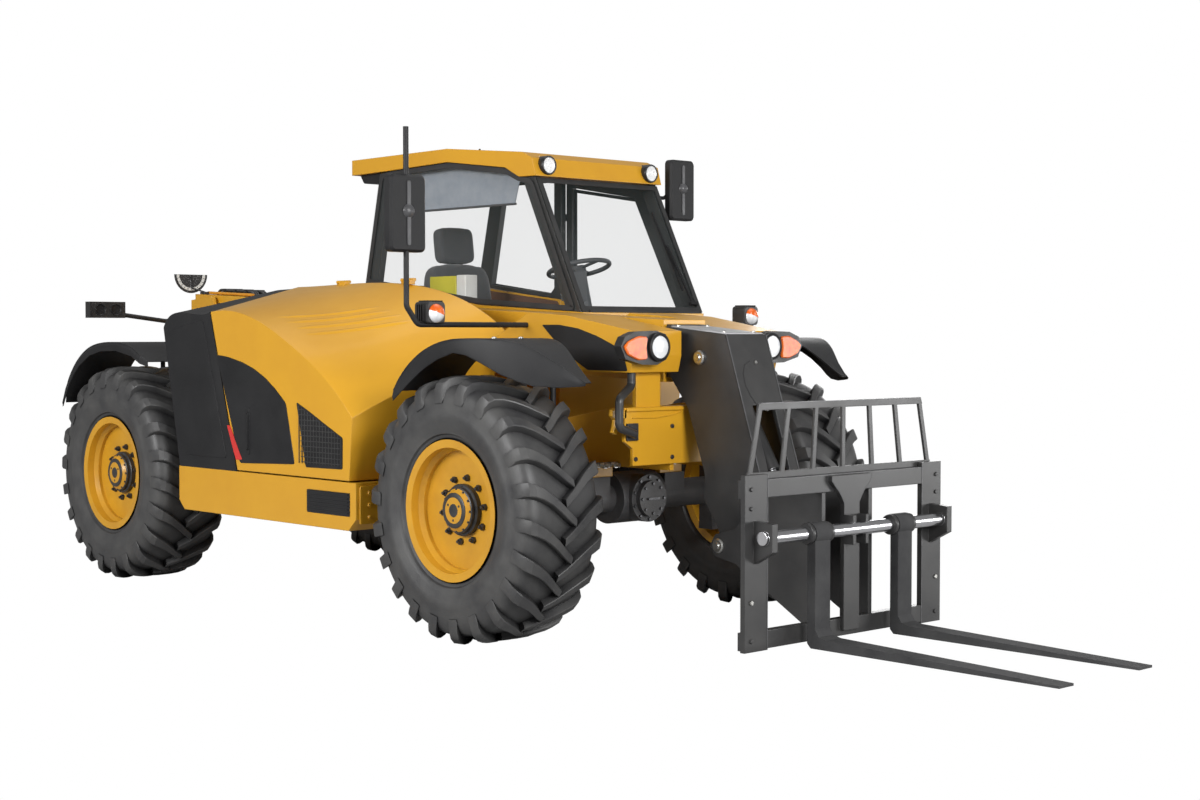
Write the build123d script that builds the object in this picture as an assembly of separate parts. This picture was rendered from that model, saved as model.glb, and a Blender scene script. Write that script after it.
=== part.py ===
from build123d import *
from math import atan2, cos, degrees, hypot, radians, sin, sqrt
import os

# A compact telescopic handler, in millimetres: +X forward, +Y to the cab side, +Z up.
# The ground is z = 0 and the machine's centre plane is y = 0.

# Driving dimensions
WHEELBASE = 3200
FRONT_X = 605
REAR_X = FRONT_X - WHEELBASE
TYRE_R = 625
AXLE_Z = TYRE_R
TRACK_HALF = 940
TYRE_WIDTH = 460
RIM_R = 330
BODY_HALF = 1120
KINGPIN_Y = 800
GAP = 6

# Wheels
BEAD_R = 305
CARCASS_R = 587
SIDEWALL_R = 455
RIM_WIDTH = 410
DISC_Y = 1045
HUB_R = 105
HUB_FACE_Y = 1120
BARS_A_SIDE = 18
BAR_WIDE = 52
BAR_LONG = 200
BAR_SLANT = 38
BAR_REACH = BAR_LONG / 2 * sin(radians(BAR_SLANT)) + BAR_WIDE / 2 * cos(radians(BAR_SLANT))
BAR_TOP = sqrt(TYRE_R ** 2 - BAR_REACH ** 2)
BAR_START = degrees(atan2(BAR_REACH, BAR_TOP))

# Boom: a box section that slopes down a little towards the front
BOOM_HALF = 145
BOOM_DEEP = 300
BOOM_WALL = 10
BOOM_REAR = (REAR_X - 720, 1700)
BOOM_FRONT = (1000, 1510)
PIVOT = (REAR_X - 550, 1575)
PIVOT_R = 35
BOOM_SLOPE = degrees(atan2(BOOM_REAR[1] - BOOM_FRONT[1], BOOM_FRONT[0] - BOOM_REAR[0]))
INNER_HALF = 122
INNER_DEEP = 254
NOSE_HALF = 140
NOSE_PLATE = 20

# Lift cylinder, under the boom on the centre plane
LIFT_BASE = (REAR_X - 255, 840)
LIFT_EYE = (REAR_X + 845, 1235)
LIFT_LUG_Y = (65, 90)
LIFT_BARREL_R = 58
LIFT_ROD_R = 35

# Tilt cylinder, inside the nose
TILT_BASE = (1240, 1330)
TILT_EYE = (1650, 660)
TILT_BARREL_R = 46
TILT_ROD_R = 28
CARRIAGE_PIN = (1394, 455)
PIN_R = 22

# Steering
STEER_ARM = 175
STEER_DROP = 30
STEER_ROD_R = 20
YOKE_Y = (560, 600)

# Mudguards, from the wheel's centre: side line, and the outline seen from above
GUARD_INNER_Y = TRACK_HALF - 160
GUARD_TUBE_X = 200
FRONT_GUARD = [(-394, 550), (-262, 683), (-130, 752), (13, 788), (200, 797), (300, 794), (400, 774),
               (520, 705), (668, 600)]
FRONT_GUARD_PLAN = [(-420, -160), (-420, 230), (90, 230), (300, 180), (470, 80), (600, -10), (672, -35),
                    (672, -72), (560, -90), (300, -160)]
REAR_GUARD = [(-541, 403), (-450, 568), (-330, 676), (-200, 738), (-60, 764), (120, 768), (300, 740),
              (440, 660)]
REAR_GUARD_PLAN = [(-545, -150), (-545, 210), (-480, 230), (400, 230), (445, 200), (445, -160)]

# Fork carriage
CARRIAGE_X = 2025
CARRIAGE_HALF = 680
CARRIAGE_LOW = 88
CARRIAGE_TOP = 843
PLATE_WIDE = 145
PLATE_THICK = 25
SHAFT = (2085, 578)
SHAFT_R = 30
GUARD_TOP = 1145
CENTRE_PLATE = [(-54, 120), (54, 120), (54, 690), (84, 735), (138, 790), (138, 815), (-138, 815), (-138, 790),
                (-84, 735), (-54, 690)]
FORK_TIP_X = 3345
FORK_WIDE = 100
FORK_THICK = 45
FORK_Z = 80
FORK_Y = (-287, 287)

# Cab
CAB_Y = (190.3, 1110)
CAB_WALL = 40
CAB_FLOOR = 700
FLOOR_TOP = CAB_FLOOR + 40.3
CAB_SILL = 1556
GLASS_THICK = 6
ROOF_LAMP = (260, 2360)
ROOF_LAMP_X = (-390, -300)


# Shared shapes
def box(x, y, z):
    """A box between two values along each axis."""
    size = (x[1] - x[0], y[1] - y[0], z[1] - z[0])
    centre = ((x[0] + x[1]) / 2, (y[0] + y[1]) / 2, (z[0] + z[1]) / 2)
    return Pos(*centre) * Box(*size)


def side_plate(points, y):
    """An outline in the side view, thick between two values of y."""
    face = make_face(Polyline(*points, close=True))
    return extrude(Plane.XZ.offset(-y[1]) * face, amount=y[1] - y[0])


def front_plate(points, x):
    """An outline in the front view, thick between two values of x."""
    face = make_face(Polyline(*points, close=True))
    return extrude(Plane.YZ.offset(x[0]) * face, amount=x[1] - x[0])


def plan_plate(points, z):
    """An outline seen from above, thick between two values of z."""
    face = make_face(Polyline(*points, close=True))
    return extrude(Plane.XY.offset(z[0]) * face, amount=z[1] - z[0])


def cross_shaft(x, z, r, y):
    """A round bar along Y."""
    return Pos(x, (y[0] + y[1]) / 2, z) * Rot(90, 0, 0) * Cylinder(r, y[1] - y[0])


def upright(x, y, r, z):
    """A round bar along Z."""
    return Pos(x, y, (z[0] + z[1]) / 2) * Cylinder(r, z[1] - z[0])


def long_shaft(y, z, r, x):
    """A round bar along X."""
    return Pos((x[0] + x[1]) / 2, y, z) * Rot(0, 90, 0) * Cylinder(r, x[1] - x[0])


def rod_between(a, b, r, y=0):
    """A round bar between two points of the side view."""
    length = hypot(b[0] - a[0], b[1] - a[1])
    turn = degrees(atan2(b[0] - a[0], b[1] - a[1]))
    middle = ((a[0] + b[0]) / 2, y, (a[1] + b[1]) / 2)
    return Pos(*middle) * Rot(0, turn, 0) * Cylinder(r, length)


def strut(a, b, r):
    """A round bar between two points in space."""
    line = Line(a, b)
    disc = Plane(origin=a, z_dir=line % 0) * Circle(r)
    return extrude(disc, amount=line.length)


def bent_tube(points, r, bend):
    """A round tube along straight runs with rounded bends."""
    path = FilletPolyline(*points, radius=bend)
    disc = Plane(origin=points[0], z_dir=path % 0) * Circle(r)
    return sweep(disc, path=path)


def toward(a, b, distance):
    """The point at a distance from a on the line to b."""
    length = hypot(b[0] - a[0], b[1] - a[1])
    return (a[0] + (b[0] - a[0]) * distance / length, a[1] + (b[1] - a[1]) * distance / length)


def mirrored(shape):
    return mirror(shape, about=Plane.XZ)


def boom_z(x):
    """Height of the boom's top line."""
    return BOOM_REAR[1] - (x - BOOM_REAR[0]) * (BOOM_REAR[1] - BOOM_FRONT[1]) / (BOOM_FRONT[0] - BOOM_REAR[0])


# Wheels
def wheel_profile(points):
    """A closed outline of (radius, y from the wheel's inner side) turned about the axle line."""
    face = make_face(Polyline(*points, close=True))
    return revolve(face, axis=Axis.Y)


def tyre():
    """Carcass of flat facets with two rows of slanted bars, and a round bead bore."""
    half = TYRE_WIDTH / 2
    side = [(BEAD_R + 25, half - 46), (SIDEWALL_R, half), (560, half - 24), (CARCASS_R, half - 80)]
    rings = [(r, -y) for r, y in side] + [(r, y) for r, y in reversed(side)]
    facets = 2 * BARS_A_SIDE
    carcass = loft([Plane.XZ.offset(-TRACK_HALF - y) * RegularPolygon(r, facets) for r, y in rings], ruled=True)
    bars = []
    for i in range(BARS_A_SIDE):
        bars.append(Rot(0, BAR_START + 360 * i / BARS_A_SIDE, 0) * tread_bar(1))
        bars.append(Rot(0, BAR_START + 360 * (i + 0.5) / BARS_A_SIDE, 0) * tread_bar(-1))
    return carcass + bars - cross_shaft(0, 0, BEAD_R, (TRACK_HALF - half - 1, TRACK_HALF + half + 1))


def tread_bar(side):
    """One bar at the top of the tyre: flat on the road, stepped down over the shoulder."""
    half = TYRE_WIDTH / 2
    foot = CARCASS_R - 25
    end = BAR_LONG / 2
    profile = [(-end, foot), (-end, BAR_TOP), (end, BAR_TOP), (end + 60, BAR_TOP - 60), (end, SIDEWALL_R + 60)]
    face = Plane.YZ.offset(-BAR_WIDE / 2) * make_face(Polyline(*profile, close=True))
    bar = Rot(0, 0, BAR_SLANT) * extrude(face, amount=BAR_WIDE)
    bar = Pos(0, half - 175, 0) * bar
    return Pos(0, TRACK_HALF, 0) * (bar if side > 0 else mirrored(bar))


def rim():
    y = TRACK_HALF
    half = RIM_WIDTH / 2
    wall = 12
    seat = BEAD_R - GAP / 20
    outline = [(RIM_R, y - half), (seat, y - half + 20), (seat, y - 120), (262, y - 90), (262, y + 40),
               (288, y + 70), (288, y + 130), (seat, y + 150), (seat, y + half - 20), (RIM_R, y + half),
               (seat - wall, y + half - 4), (seat - wall, y + 160), (276, y + 138), (276, DISC_Y + 14),
               (120, DISC_Y + 4), (120, DISC_Y - 8), (276, DISC_Y), (276, y + 80), (250, y + 50), (250, y - 96),
               (seat - wall, y - 130), (seat - wall, y - half + 4)]
    ring = wheel_profile(outline)
    hub = wheel_profile([(0, 985), (118, 985), (118, DISC_Y + 30), (HUB_R, DISC_Y + 34), (HUB_R, 1095),
                         (78, HUB_FACE_Y), (0, HUB_FACE_Y)])
    web = wheel_profile([(110, DISC_Y - 8), (135, DISC_Y - 8), (135, DISC_Y + 5), (110, DISC_Y + 5)])
    return ring + hub + web


def placed_wheel(shape, x, side):
    """Moves a left-hand wheel part to its axle, turned over for the right side."""
    there = Pos(x, 0, AXLE_Z) * shape
    return there if side > 0 else mirrored(there)


# Axles and knuckles
def axle(x, nose):
    """The beam with its differential; nose is +1 where the flange faces forward."""
    beam = cross_shaft(x, AXLE_Z, 72, (-YOKE_Y[0] - 10, YOKE_Y[0] + 10))
    bowl = cross_shaft(x, AXLE_Z, 128, (-150, 150))
    pinion = long_shaft(0, AXLE_Z, 92, (x - nose * 260, x) if nose > 0 else (x, x - nose * 260))
    cover = long_shaft(0, AXLE_Z, 118, (x, x + nose * 150) if nose > 0 else (x + nose * 150, x))
    cover += long_shaft(0, AXLE_Z, 90, (x + 150, x + 178) if nose > 0 else (x - 178, x - 150))
    whole = beam + bowl + pinion + cover
    for side in (-1, 1):
        for up in (-1, 1):
            z_near, z_far = AXLE_Z + up * 168, AXLE_Z + up * 205
            z = (min(z_near, z_far), max(z_near, z_far))
            arm = box((x - 48, x + 48), (YOKE_Y[0], KINGPIN_Y), z)
            arm += upright(x, KINGPIN_Y, 48, z)
            whole += arm if side > 0 else mirrored(arm)
        stem = box((x - 45, x + 45), YOKE_Y, (AXLE_Z - 205, AXLE_Z + 205))
        whole += stem if side > 0 else mirrored(stem)
    for side in (-1, 1):
        whole += box((x - 70, x + 70), sorted((side * 190, side * 330)), (AXLE_Z, AXLE_Z + 112))
    rod_x, rod_z = x - nose * STEER_ARM, AXLE_Z - STEER_DROP
    barrel = cross_shaft(rod_x, rod_z, 42, (-230, 230))
    lugs = box((rod_x - 20, rod_x + 20), (-120, 120), (AXLE_Z - 40, AXLE_Z + 40))
    return whole + barrel + lugs - cross_shaft(rod_x, rod_z, STEER_ROD_R + 0.5, (-231, 231))


def steer_rod(x, nose):
    """The steering cylinder's rod, with an eye above each knuckle arm."""
    rod_x, rod_z = x - nose * STEER_ARM, AXLE_Z - STEER_DROP
    body = cross_shaft(rod_x, rod_z, STEER_ROD_R, (-KINGPIN_Y, KINGPIN_Y))
    for y in (-KINGPIN_Y, KINGPIN_Y):
        body += upright(rod_x, y, STEER_ROD_R + 8, (rod_z - STEER_ROD_R - 2, rod_z + STEER_ROD_R + 2))
    return body


def knuckle(x, nose):
    """Left-hand knuckle: swivel housing, kingpin bosses and steering arm."""
    body = cross_shaft(0, 0, 118, (KINGPIN_Y - 78, 984.7))
    body += upright(0, KINGPIN_Y, 44, (-167.6, 167.6))
    arm_top = -STEER_DROP - STEER_ROD_R - 2.3
    arm = box(sorted((-nose * STEER_ARM, 0)), (KINGPIN_Y - 28, KINGPIN_Y + 28), (arm_top - 32, arm_top))
    arm += upright(-nose * STEER_ARM, KINGPIN_Y, 28, (arm_top - 32, arm_top))
    ear = box(sorted((nose * 60, nose * 118)), (665, 740), (-30, 60))
    return Pos(x, 0, AXLE_Z) * (body + arm + ear)


def fender(x, line, plan, nose):
    """Left-hand mudguard: a moulded sheet over the wheel, on a tube from the knuckle."""
    sheet = 6
    inner = [(px * (1 - sheet / hypot(px, pz)), pz * (1 - sheet / hypot(px, pz))) for px, pz in line]
    over, under = Spline(*line), Spline(*reversed(inner))
    section = make_face(over + Line(line[-1], inner[-1]) + under + Line(inner[0], line[0]))
    outer_y = TRACK_HALF + TYRE_WIDTH / 2
    guard = extrude(Plane.XZ.offset(-outer_y) * section, amount=outer_y - GUARD_INNER_Y)
    guard = guard & plan_plate([(px, TRACK_HALF + py) for px, py in plan], (0, 900))
    across = nose * GUARD_TUBE_X
    under_sheet = dict(line)[across] - 18
    tube = bent_tube([(nose * 150, 682, 20), (nose * 150, 682, 120), (across, 682, 300),
                      (across, 682, under_sheet), (across, TRACK_HALF + 60, under_sheet)], 14, 28)
    foot = box(sorted((nose * 118.3, nose * 170)), (668, 696), (-20, 50))
    return Pos(x, 0, AXLE_Z) * (guard + tube + foot)


# Chassis
def frame():
    plate = 25
    inside = 165
    rear, front = REAR_X, FRONT_X
    side = [(rear - 695, 560), (rear - 695, 1660), (rear - 445, 1680), (rear - 365, 1480), (rear - 105, 1120),
            (rear + 295, 960), (rear + 695, 760), (-300, 760), (front - 355, 1000), (front + 195, 1098),
            (front + 485, 1098), (front + 485, 790), (front - 305, 790), (front - 425, 480), (-150, 430),
            (rear + 495, 430), (rear + 365, 790), (rear - 265, 790), (rear - 365, 560)]
    whole = side_plate(side, (inside, inside + plate)) + side_plate(side, (-inside - plate, -inside))
    whole += box((rear + 495, front - 505), (-inside, inside), (430, 455))
    whole += box((rear - 695, rear - 395), (-350, 350), (560, 900))
    whole += box((front + 255, front + 485), (-inside, inside), (1000, 1090))
    nose_plate = [(-507, 1098), (-507, 940), (-455, 905), (-455, 825), (455, 825), (455, 905), (507, 940),
                  (507, 1098)]
    whole += front_plate(nose_plate, (1090, 1110))
    for y in ((-420, -260), (260, 420)):
        whole += box((1070, 1095), y, (1060, 1261.7))
    for x in (-1400, -400):
        whole += box((x - 50, x + 50), (10.3 - BODY_HALF, -inside), (560, 640))
        whole += box((x - 50, x + 50), (inside, 699.7), (560, 640))
    whole += cross_shaft(LIFT_BASE[0], LIFT_BASE[1], 30, (-inside, inside))
    whole += cross_shaft(PIVOT[0], PIVOT[1], PIVOT_R, (-inside - plate - 12, inside + plate + 12))
    whole += axle_seats(FRONT_X) + axle_seats(REAR_X)
    return whole + bay_wall()


def bay_wall():
    """Sheet between the engine bay and the boom, with the hood's hinge knuckles on its top edge."""
    y = (-396, -388)
    outline = [(-1700, 705.3), (-1730, 1690), (-1164, 1704), (-738, 1694), (-347, 1635), (120, 1436), (-200, 760),
               (-240, 705.3)]
    wall = side_plate(outline, y)
    for x in (-1400, -400):
        wall += box((x - 50, x + 50), (-396, -180), (600, 760))
    for x in HOOD_HINGES:
        wall += box((x - 60, x - 0.3), (-394, -388), (1600, HOOD_PIN[1]))
        wall += long_shaft(HOOD_PIN[0], HOOD_PIN[1], 9, (x - 60, x - 0.3))
    return wall


def axle_seats(x):
    seat = box((x - 60, x + 60), (165, 320), (AXLE_Z + 112.3, AXLE_Z + 180))
    return seat + mirrored(seat)


def engine_block():
    return box((-1220, -480), (190 - BODY_HALF, -430), (SILL_TOP + 0.3, 1130))


def sill():
    low, high = 465, SILL_TOP
    outline = [(-1855, high), (-1855, low + 50), (-1800, low), (-230, low), (-165, low + 60), (-165, high)]
    body = side_plate(outline, (-BODY_HALF, -700))
    body -= box((-1800, -230), (-BODY_HALF + 10, -690), (low + 10, high - 10))
    body -= box((-591, -216), (-BODY_HALF - 1, -BODY_HALF + 4), (536, 652))
    return body


HOOD_HINGES = (-1300, -700)
HOOD_PIN = (-391, 1732)
HOOD_PIN_R = 9

# Engine cowl in the side view: the top line and the foot, at the outer side and at the boom side
COWL_INNER_Y = -400
COWL_WALL = 10
HOOD_FOOT = 713
SILL_TOP = 705
HOOD_TOP_OUT = [(-1510, 1560), (-1164, 1542), (-738, 1384), (-382, 1186), (-195, 1027)]
HOOD_TOP_IN = [(-1739, 1712), (-1164, 1722), (-738, 1712), (-347, 1655), (141, 1446)]
HOOD_FOOT_OUT = (-1248, -223)
HOOD_FOOT_IN = (-1494, -223)
REAR_TOP_OUT = [(-2015, 1475), (-1990, 1510), (-1700, 1552), (-1518, 1560)]
REAR_TOP_IN = [(-2150, 1600), (-2110, 1650), (-1900, 1700), (-1747, 1711)]
REAR_FOOT_OUT = (-1845, -1256)
REAR_FOOT_IN = (-1900, -1502)


def cowl_outline(top, foot, low):
    """A closed outline under a smooth top line."""
    crown = Spline(*top)
    front = Line(top[-1], (foot[1], low))
    sole = Line((foot[1], low), (foot[0], low))
    return make_face(crown + front + sole + Line((foot[0], low), top[0]))


def skin(top_out, foot_out, y_out, top_in, foot_in, y_in, low):
    """The solid between the outline at the outer side and the one at the boom side."""
    near = Plane.XZ.offset(-y_out) * cowl_outline(top_out, foot_out, low)
    far = Plane.XZ.offset(-y_in) * cowl_outline(top_in, foot_in, low)
    return loft([near, far], ruled=True)


def lowered(top, back, front):
    """A top line one wall lower, pushed on at its ends by the given lengths."""
    rows = [(x, z - COWL_WALL) for x, z in top]
    rows[0] = (top[0][0] - back, top[0][1] - COWL_WALL)
    rows[-1] = (top[-1][0] + front, top[-1][1] - COWL_WALL)
    return rows


def cowl(top_out, foot_out, top_in, foot_in, low, back, front):
    """A cowl panel, open below, at the boom side and at the joint with its neighbour."""
    y_out = -BODY_HALF
    solid = skin(top_out, foot_out, y_out, top_in, foot_in, COWL_INNER_Y, low)
    inner_out = lowered(top_out, back, front)
    inner_in = lowered(top_in, back, front)
    room_out = (foot_out[0] - back, foot_out[1] + front)
    room_in = (foot_in[0] - back, foot_in[1] + front)
    hollow = skin(inner_out, room_out, y_out + COWL_WALL, inner_in, room_in, COWL_INNER_Y + 20, low - 20)
    return solid - hollow


def hood():
    """The engine hood, which swings up on hinges at its inner edge."""
    body = cowl(HOOD_TOP_OUT, HOOD_FOOT_OUT, HOOD_TOP_IN, HOOD_FOOT_IN, HOOD_FOOT, 60, -COWL_WALL)
    for x in HOOD_HINGES:
        body += box((x, x + 60), (-425, HOOD_PIN[0]), (1706, HOOD_PIN[1]))
        body += long_shaft(HOOD_PIN[0], HOOD_PIN[1], HOOD_PIN_R, (x, x + 60))
    return body


def rear_cowl():
    return cowl(REAR_TOP_OUT, REAR_FOOT_OUT, REAR_TOP_IN, REAR_FOOT_IN, SILL_TOP + 0.3, -COWL_WALL, 60)


def fairing():
    """The nose panels on both sides of the boom, which carry the headlamps."""
    side = [(180, 1430), (420, 1548), (700, 1530), (1160, 1455), (1160, 1340), (1140, 1262), (900, 1262),
            (480, 1290), (200, 1330)]
    body = side_plate(side, (-500, -185))
    inside = [(200, 1420), (425, 1532), (700, 1516), (1146, 1443), (1146, 1340), (1130, 1276), (900, 1276),
              (480, 1304), (214, 1342)]
    body -= side_plate(inside, (-490, -184))
    return body + mirrored(body)


def lamps():
    """Headlamps, side lamps, roof lamps and the rear lamp boxes on their bars."""
    x = 1221
    shell = [(-626, 1384), (-600, 1428), (-530, 1452), (-400, 1456), (-338, 1440), (-312, 1385), (-334, 1322),
             (-395, 1298), (-490, 1300), (-596, 1326)]
    head = front_plate(shell, (1160.3, x - 12)) + long_shaft(-390, 1380, 62, (x - 20, x))
    side = box((370, 440), (-1130, -1050), (1498.3, 1570))
    bar_x = REAR_X - 600
    rear = box((bar_x - 30, bar_x + 30), (-970, -730), (1540, 1640))
    rear += bent_tube([(bar_x, -735, 1560), (bar_x, -440, 1523), (bar_x, -190.3, 1523)], 14, 30)
    pair = head + side + rear
    whole = pair + mirrored(pair)
    for y in (ROOF_LAMP[0], 1300 - ROOF_LAMP[0]):
        whole += long_shaft(y, ROOF_LAMP[1], 52, ROOF_LAMP_X)
    return whole


def mirrors():
    """Right mirror on a tube over the wheel, left mirror on the cab's front post."""
    arm = bent_tube([(405, -500.3, 1485), (405, -1170, 1485), (405, -1235, 1570), (405, -1235, 2400)], 13, 40)
    right = arm + mirror_head(box((375, 425), (-1337, -1130), (1820, 2180)))
    left = bent_tube([(-345, 1110.3, 2230), (-345, 1200, 2230), (-295, 1280, 2330), (-295, 1280, 2430)], 11, 30)
    left += mirror_head(box((-320, -270), (1180, 1380), (2100, 2450)))
    left += cross_shaft(405, 1485, 13, (500.3, 1135))
    return right + left


def mirror_head(block):
    """A mirror housing with rounded corners and a drawn-in back."""
    block = fillet(block.edges().filter_by(Axis.X), 28)
    return chamfer(block.faces().sort_by(Axis.X)[-1].edges(), 12)


def guard_tube():
    tube = bent_tube([(1110, -465, 1261.7), (1110, -465, 1200), (1150, -580, 1140), (1150, -580, 1010),
                      (1140, -470, 975)], 20, 30)
    return tube + box((1110.3, 1122), (-500, -430), (945, 1025))


def angle_indicator():
    x = BOOM_REAR[0] + 20
    disc = Pos(x, -190, 1825) * Rot(0, 90, 0) * Cylinder(120, 4)
    disc -= box((x - 100, x + 100), (-400, 100), (1825, 2000))
    rod = bent_tube([(x, -190, 1800), (x, -190, 1740), (x + 55, -120, 1712)], 5, 15)
    a, b = x + 30, x + 80
    foot = side_plate([(a, boom_z(a) + 0.3), (b, boom_z(b) + 0.3), (b, 1714), (a, 1714)], (-140, -100))
    return disc + rod + foot


def tank_steps():
    """Left-hand tank below the door, with two steps in its side."""
    body = box((-1500, -200), (700, 1110), (430, CAB_FLOOR - 0.3))
    body -= box((-900, -500), (960, 1120), (540, 640))
    return body


# Cab
def post(bottom, top, z, y, wide):
    """A leaning post of the side view between two heights."""
    return side_plate([(bottom, z[0]), (bottom + wide, z[0]), (top + wide, z[1]), (top, z[1])], y)


def cab_frame():
    right = (CAB_Y[0], CAB_Y[0] + CAB_WALL)
    left = (CAB_Y[1] - CAB_WALL, CAB_Y[1])
    floor = box((-1700, -150), CAB_Y, (CAB_FLOOR, CAB_FLOOR + 40))
    lower = [(-1700, CAB_FLOOR), (-150, CAB_FLOOR), (-120, 1270), (60, 1440), (60, CAB_SILL), (-800, 1604),
             (-1620, 1715), (-1900, 1740), (-1880, 1500), (-1700, 1300)]
    shell = floor + side_plate(lower, right)
    rear_left = [(-1700, CAB_FLOOR), (-1150, CAB_FLOOR), (-1110, 1650), (-1900, 1740), (-1880, 1500), (-1700, 1300)]
    shell += side_plate(rear_left, left)
    back = [(-1700, CAB_FLOOR), (-1660, CAB_FLOOR), (-1660, 1300), (-1840, 1500), (-1860, 1740), (-1900, 1740),
            (-1880, 1500), (-1700, 1300)]
    shell += side_plate(back, CAB_Y)
    front = [(-190, CAB_FLOOR), (-150, CAB_FLOOR), (-120, 1270), (60, 1440), (60, CAB_SILL), (20, CAB_SILL),
             (20, 1460), (-160, 1290)]
    shell += side_plate(front, CAB_Y)
    shell += box((-1700, -150), left, (CAB_FLOOR, CAB_FLOOR + 70))
    return shell + door_knuckle(DOOR_HINGES[0])


def door_knuckle(z):
    body = box((-1160, -1112), (CAB_Y[1] - 20, DOOR_PIN[1]), (z - 20, z + 20))
    return body + upright(DOOR_PIN[0], DOOR_PIN[1], 10, (z - 20, z + 20))


def cab_posts():
    """The cab's upper frame: posts, rails and window surrounds, under the roof."""
    right = (CAB_Y[0], CAB_Y[0] + CAB_WALL)
    left = (CAB_Y[1] - CAB_WALL, CAB_Y[1])
    foot = [(-1898.9, 1740.3), (-1859.7, 1740.3), (-1620, 1715.4), (-800, 1604.4), (46, CAB_SILL + 1.2)]
    head = [(-329, 2299.7), (-440, 2301.7), (-560, 2359.7), (-1075, 2423.7), (-1640, 2409.7), (-1746, 2400)]
    hole = [(-1770, 1752), (-1620, 1738), (-800, 1626), (-76, 1578), (-430, 2290), (-560, 2330), (-1024, 2398),
            (-1600, 2384), (-1640, 2360)]
    body = side_plate(foot + head, right) - side_plate(hole, (right[0] - 1, right[1] + 1))
    rear = [(-1898.9, 1740.3), (-1859.7, 1740.3), (-1165, 1656.8), (-1103, 1649.6), (-1103, 2423.3),
            (-1640, 2409.7), (-1746, 2400)]
    pane = [(-1770, 1752), (-1200, 1688), (-1165, 1720), (-1165, 2392), (-1600, 2384), (-1640, 2360)]
    body += side_plate(rear, left) - side_plate(pane, (left[0] - 1, left[1] + 1))
    body += post(-44, -419, (CAB_SILL + 0.3, 2299.7), left, 90)
    body += side_plate([(-1104, 2390), (-449, 2297), (-420, 2299), (-440, 2301.7), (-560, 2359.7), (-1075, 2423.7),
                        (-1104, 2423.3)], left)
    body += box((-420, -400), CAB_Y, (2280, 2298)) + box((-1740, -1715), CAB_Y, (2375, 2400))
    return body + door_knuckle(DOOR_HINGES[1])


def cab_roof():
    outline = [(-2005, 2404), (-2005, 2495), (-1075, 2500), (-415, 2436), (-330, 2400), (-300, 2300), (-440, 2302),
               (-560, 2360), (-1075, 2424), (-1640, 2410)]
    body = side_plate(outline, (CAB_Y[0] - 20, CAB_Y[1] + 20))
    for y in (ROOF_LAMP[0], 1300 - ROOF_LAMP[0]):
        body -= long_shaft(y, ROOF_LAMP[1], 52.3, (ROOF_LAMP_X[0] - 0.3, -200))
    return body


def cab_glass():
    """Windscreen, rear window, the long right-hand window and the small one behind the door."""
    y_all = CAB_Y
    t = GLASS_THICK
    off = 0.3
    lean = (419 - 44) / (2300 - CAB_SILL)
    foot, head = 46 + off, 46 + off - lean * (2294 - CAB_SILL)
    screen = side_plate([(foot, CAB_SILL + 1.2), (foot + t, CAB_SILL + 1.2), (head + t, 2294), (head, 2294)], y_all)
    slope = (1900 - 1746) / (2400 - 1735)
    low, high = -1900.6 + slope * 10, -1900.6 + slope * 660
    rear = side_plate([(low - t, 1745), (low, 1745), (high, 2395), (high - t, 2395)], y_all)
    right = [(-1880, 1748), (-800, 1612), (10, 1562), (-345, 2290), (-440, 2300), (-560, 2355), (-1075, 2420),
             (-1640, 2405), (-1730, 2395)]
    pane = side_plate(right, (CAB_Y[0] - off - t, CAB_Y[0] - off))
    side = [(-1880, 1748), (-1166, 1657), (-1166, 2395), (-1730, 2395)]
    quarter = side_plate(side, (CAB_Y[1] + off, CAB_Y[1] + off + t))
    return screen + rear + pane + quarter


DOOR_HINGES = (950, 2150)
DOOR_PIN = (-1111, 1155)


def door_outline(inset=0):
    return [(-1100 + inset, 778 + inset), (-200 - inset, 778 + inset), (-160 - inset, 1290 + inset / 2),
            (-70 - inset, 1440), (-70 - inset * 1.4, 1560), (-455 - inset, 2290 - inset),
            (-1100 + inset, 2380 - inset)]


def door():
    y = (CAB_Y[1] + 2, CAB_Y[1] + 34)
    body = side_plate(door_outline(), y) - side_plate(door_outline(55), (y[0] - 1, y[1] + 1))
    body += side_plate([(-1060, 820), (-240, 820), (-200, 1290), (-1060, 1290)], y)
    body += box((-330, -250), (CAB_Y[1] + 30, CAB_Y[1] + 60), (1225, 1255))
    for z in DOOR_HINGES:
        height = (z + 20.4, z + 60)
        body += box((-1100, -1060), (CAB_Y[1] + 30, DOOR_PIN[1] + 8), height)
        body += box((-1112, -1095), (DOOR_PIN[1] - 8, DOOR_PIN[1] + 8), height)
        body += upright(DOOR_PIN[0], DOOR_PIN[1], 10, height)
    return body


def door_glass():
    y = CAB_Y[1] + 14
    outline = door_outline(55.3)
    outline[0] = (-1044.7, 1290.3)
    outline[1] = (-245, 1290.3)
    return side_plate(outline, (y, y + GLASS_THICK))


def seat():
    cushion = box((-1500, -1020), (410, 890), (1080, 1210))
    back = side_plate([(-1560, 1150), (-1440, 1150), (-1560, 1850), (-1650, 1850)], (420, 880))
    head = side_plate([(-1640, 1870), (-1560, 1870), (-1590, 2080), (-1660, 2080)], (520, 780))
    base = box((-1440, -1080), (470, 830), (FLOOR_TOP, 1080))
    neck = side_plate([(-1630, 1840), (-1590, 1840), (-1600, 1880), (-1640, 1880)], (600, 700))
    return cushion + back + head + neck + base


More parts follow.
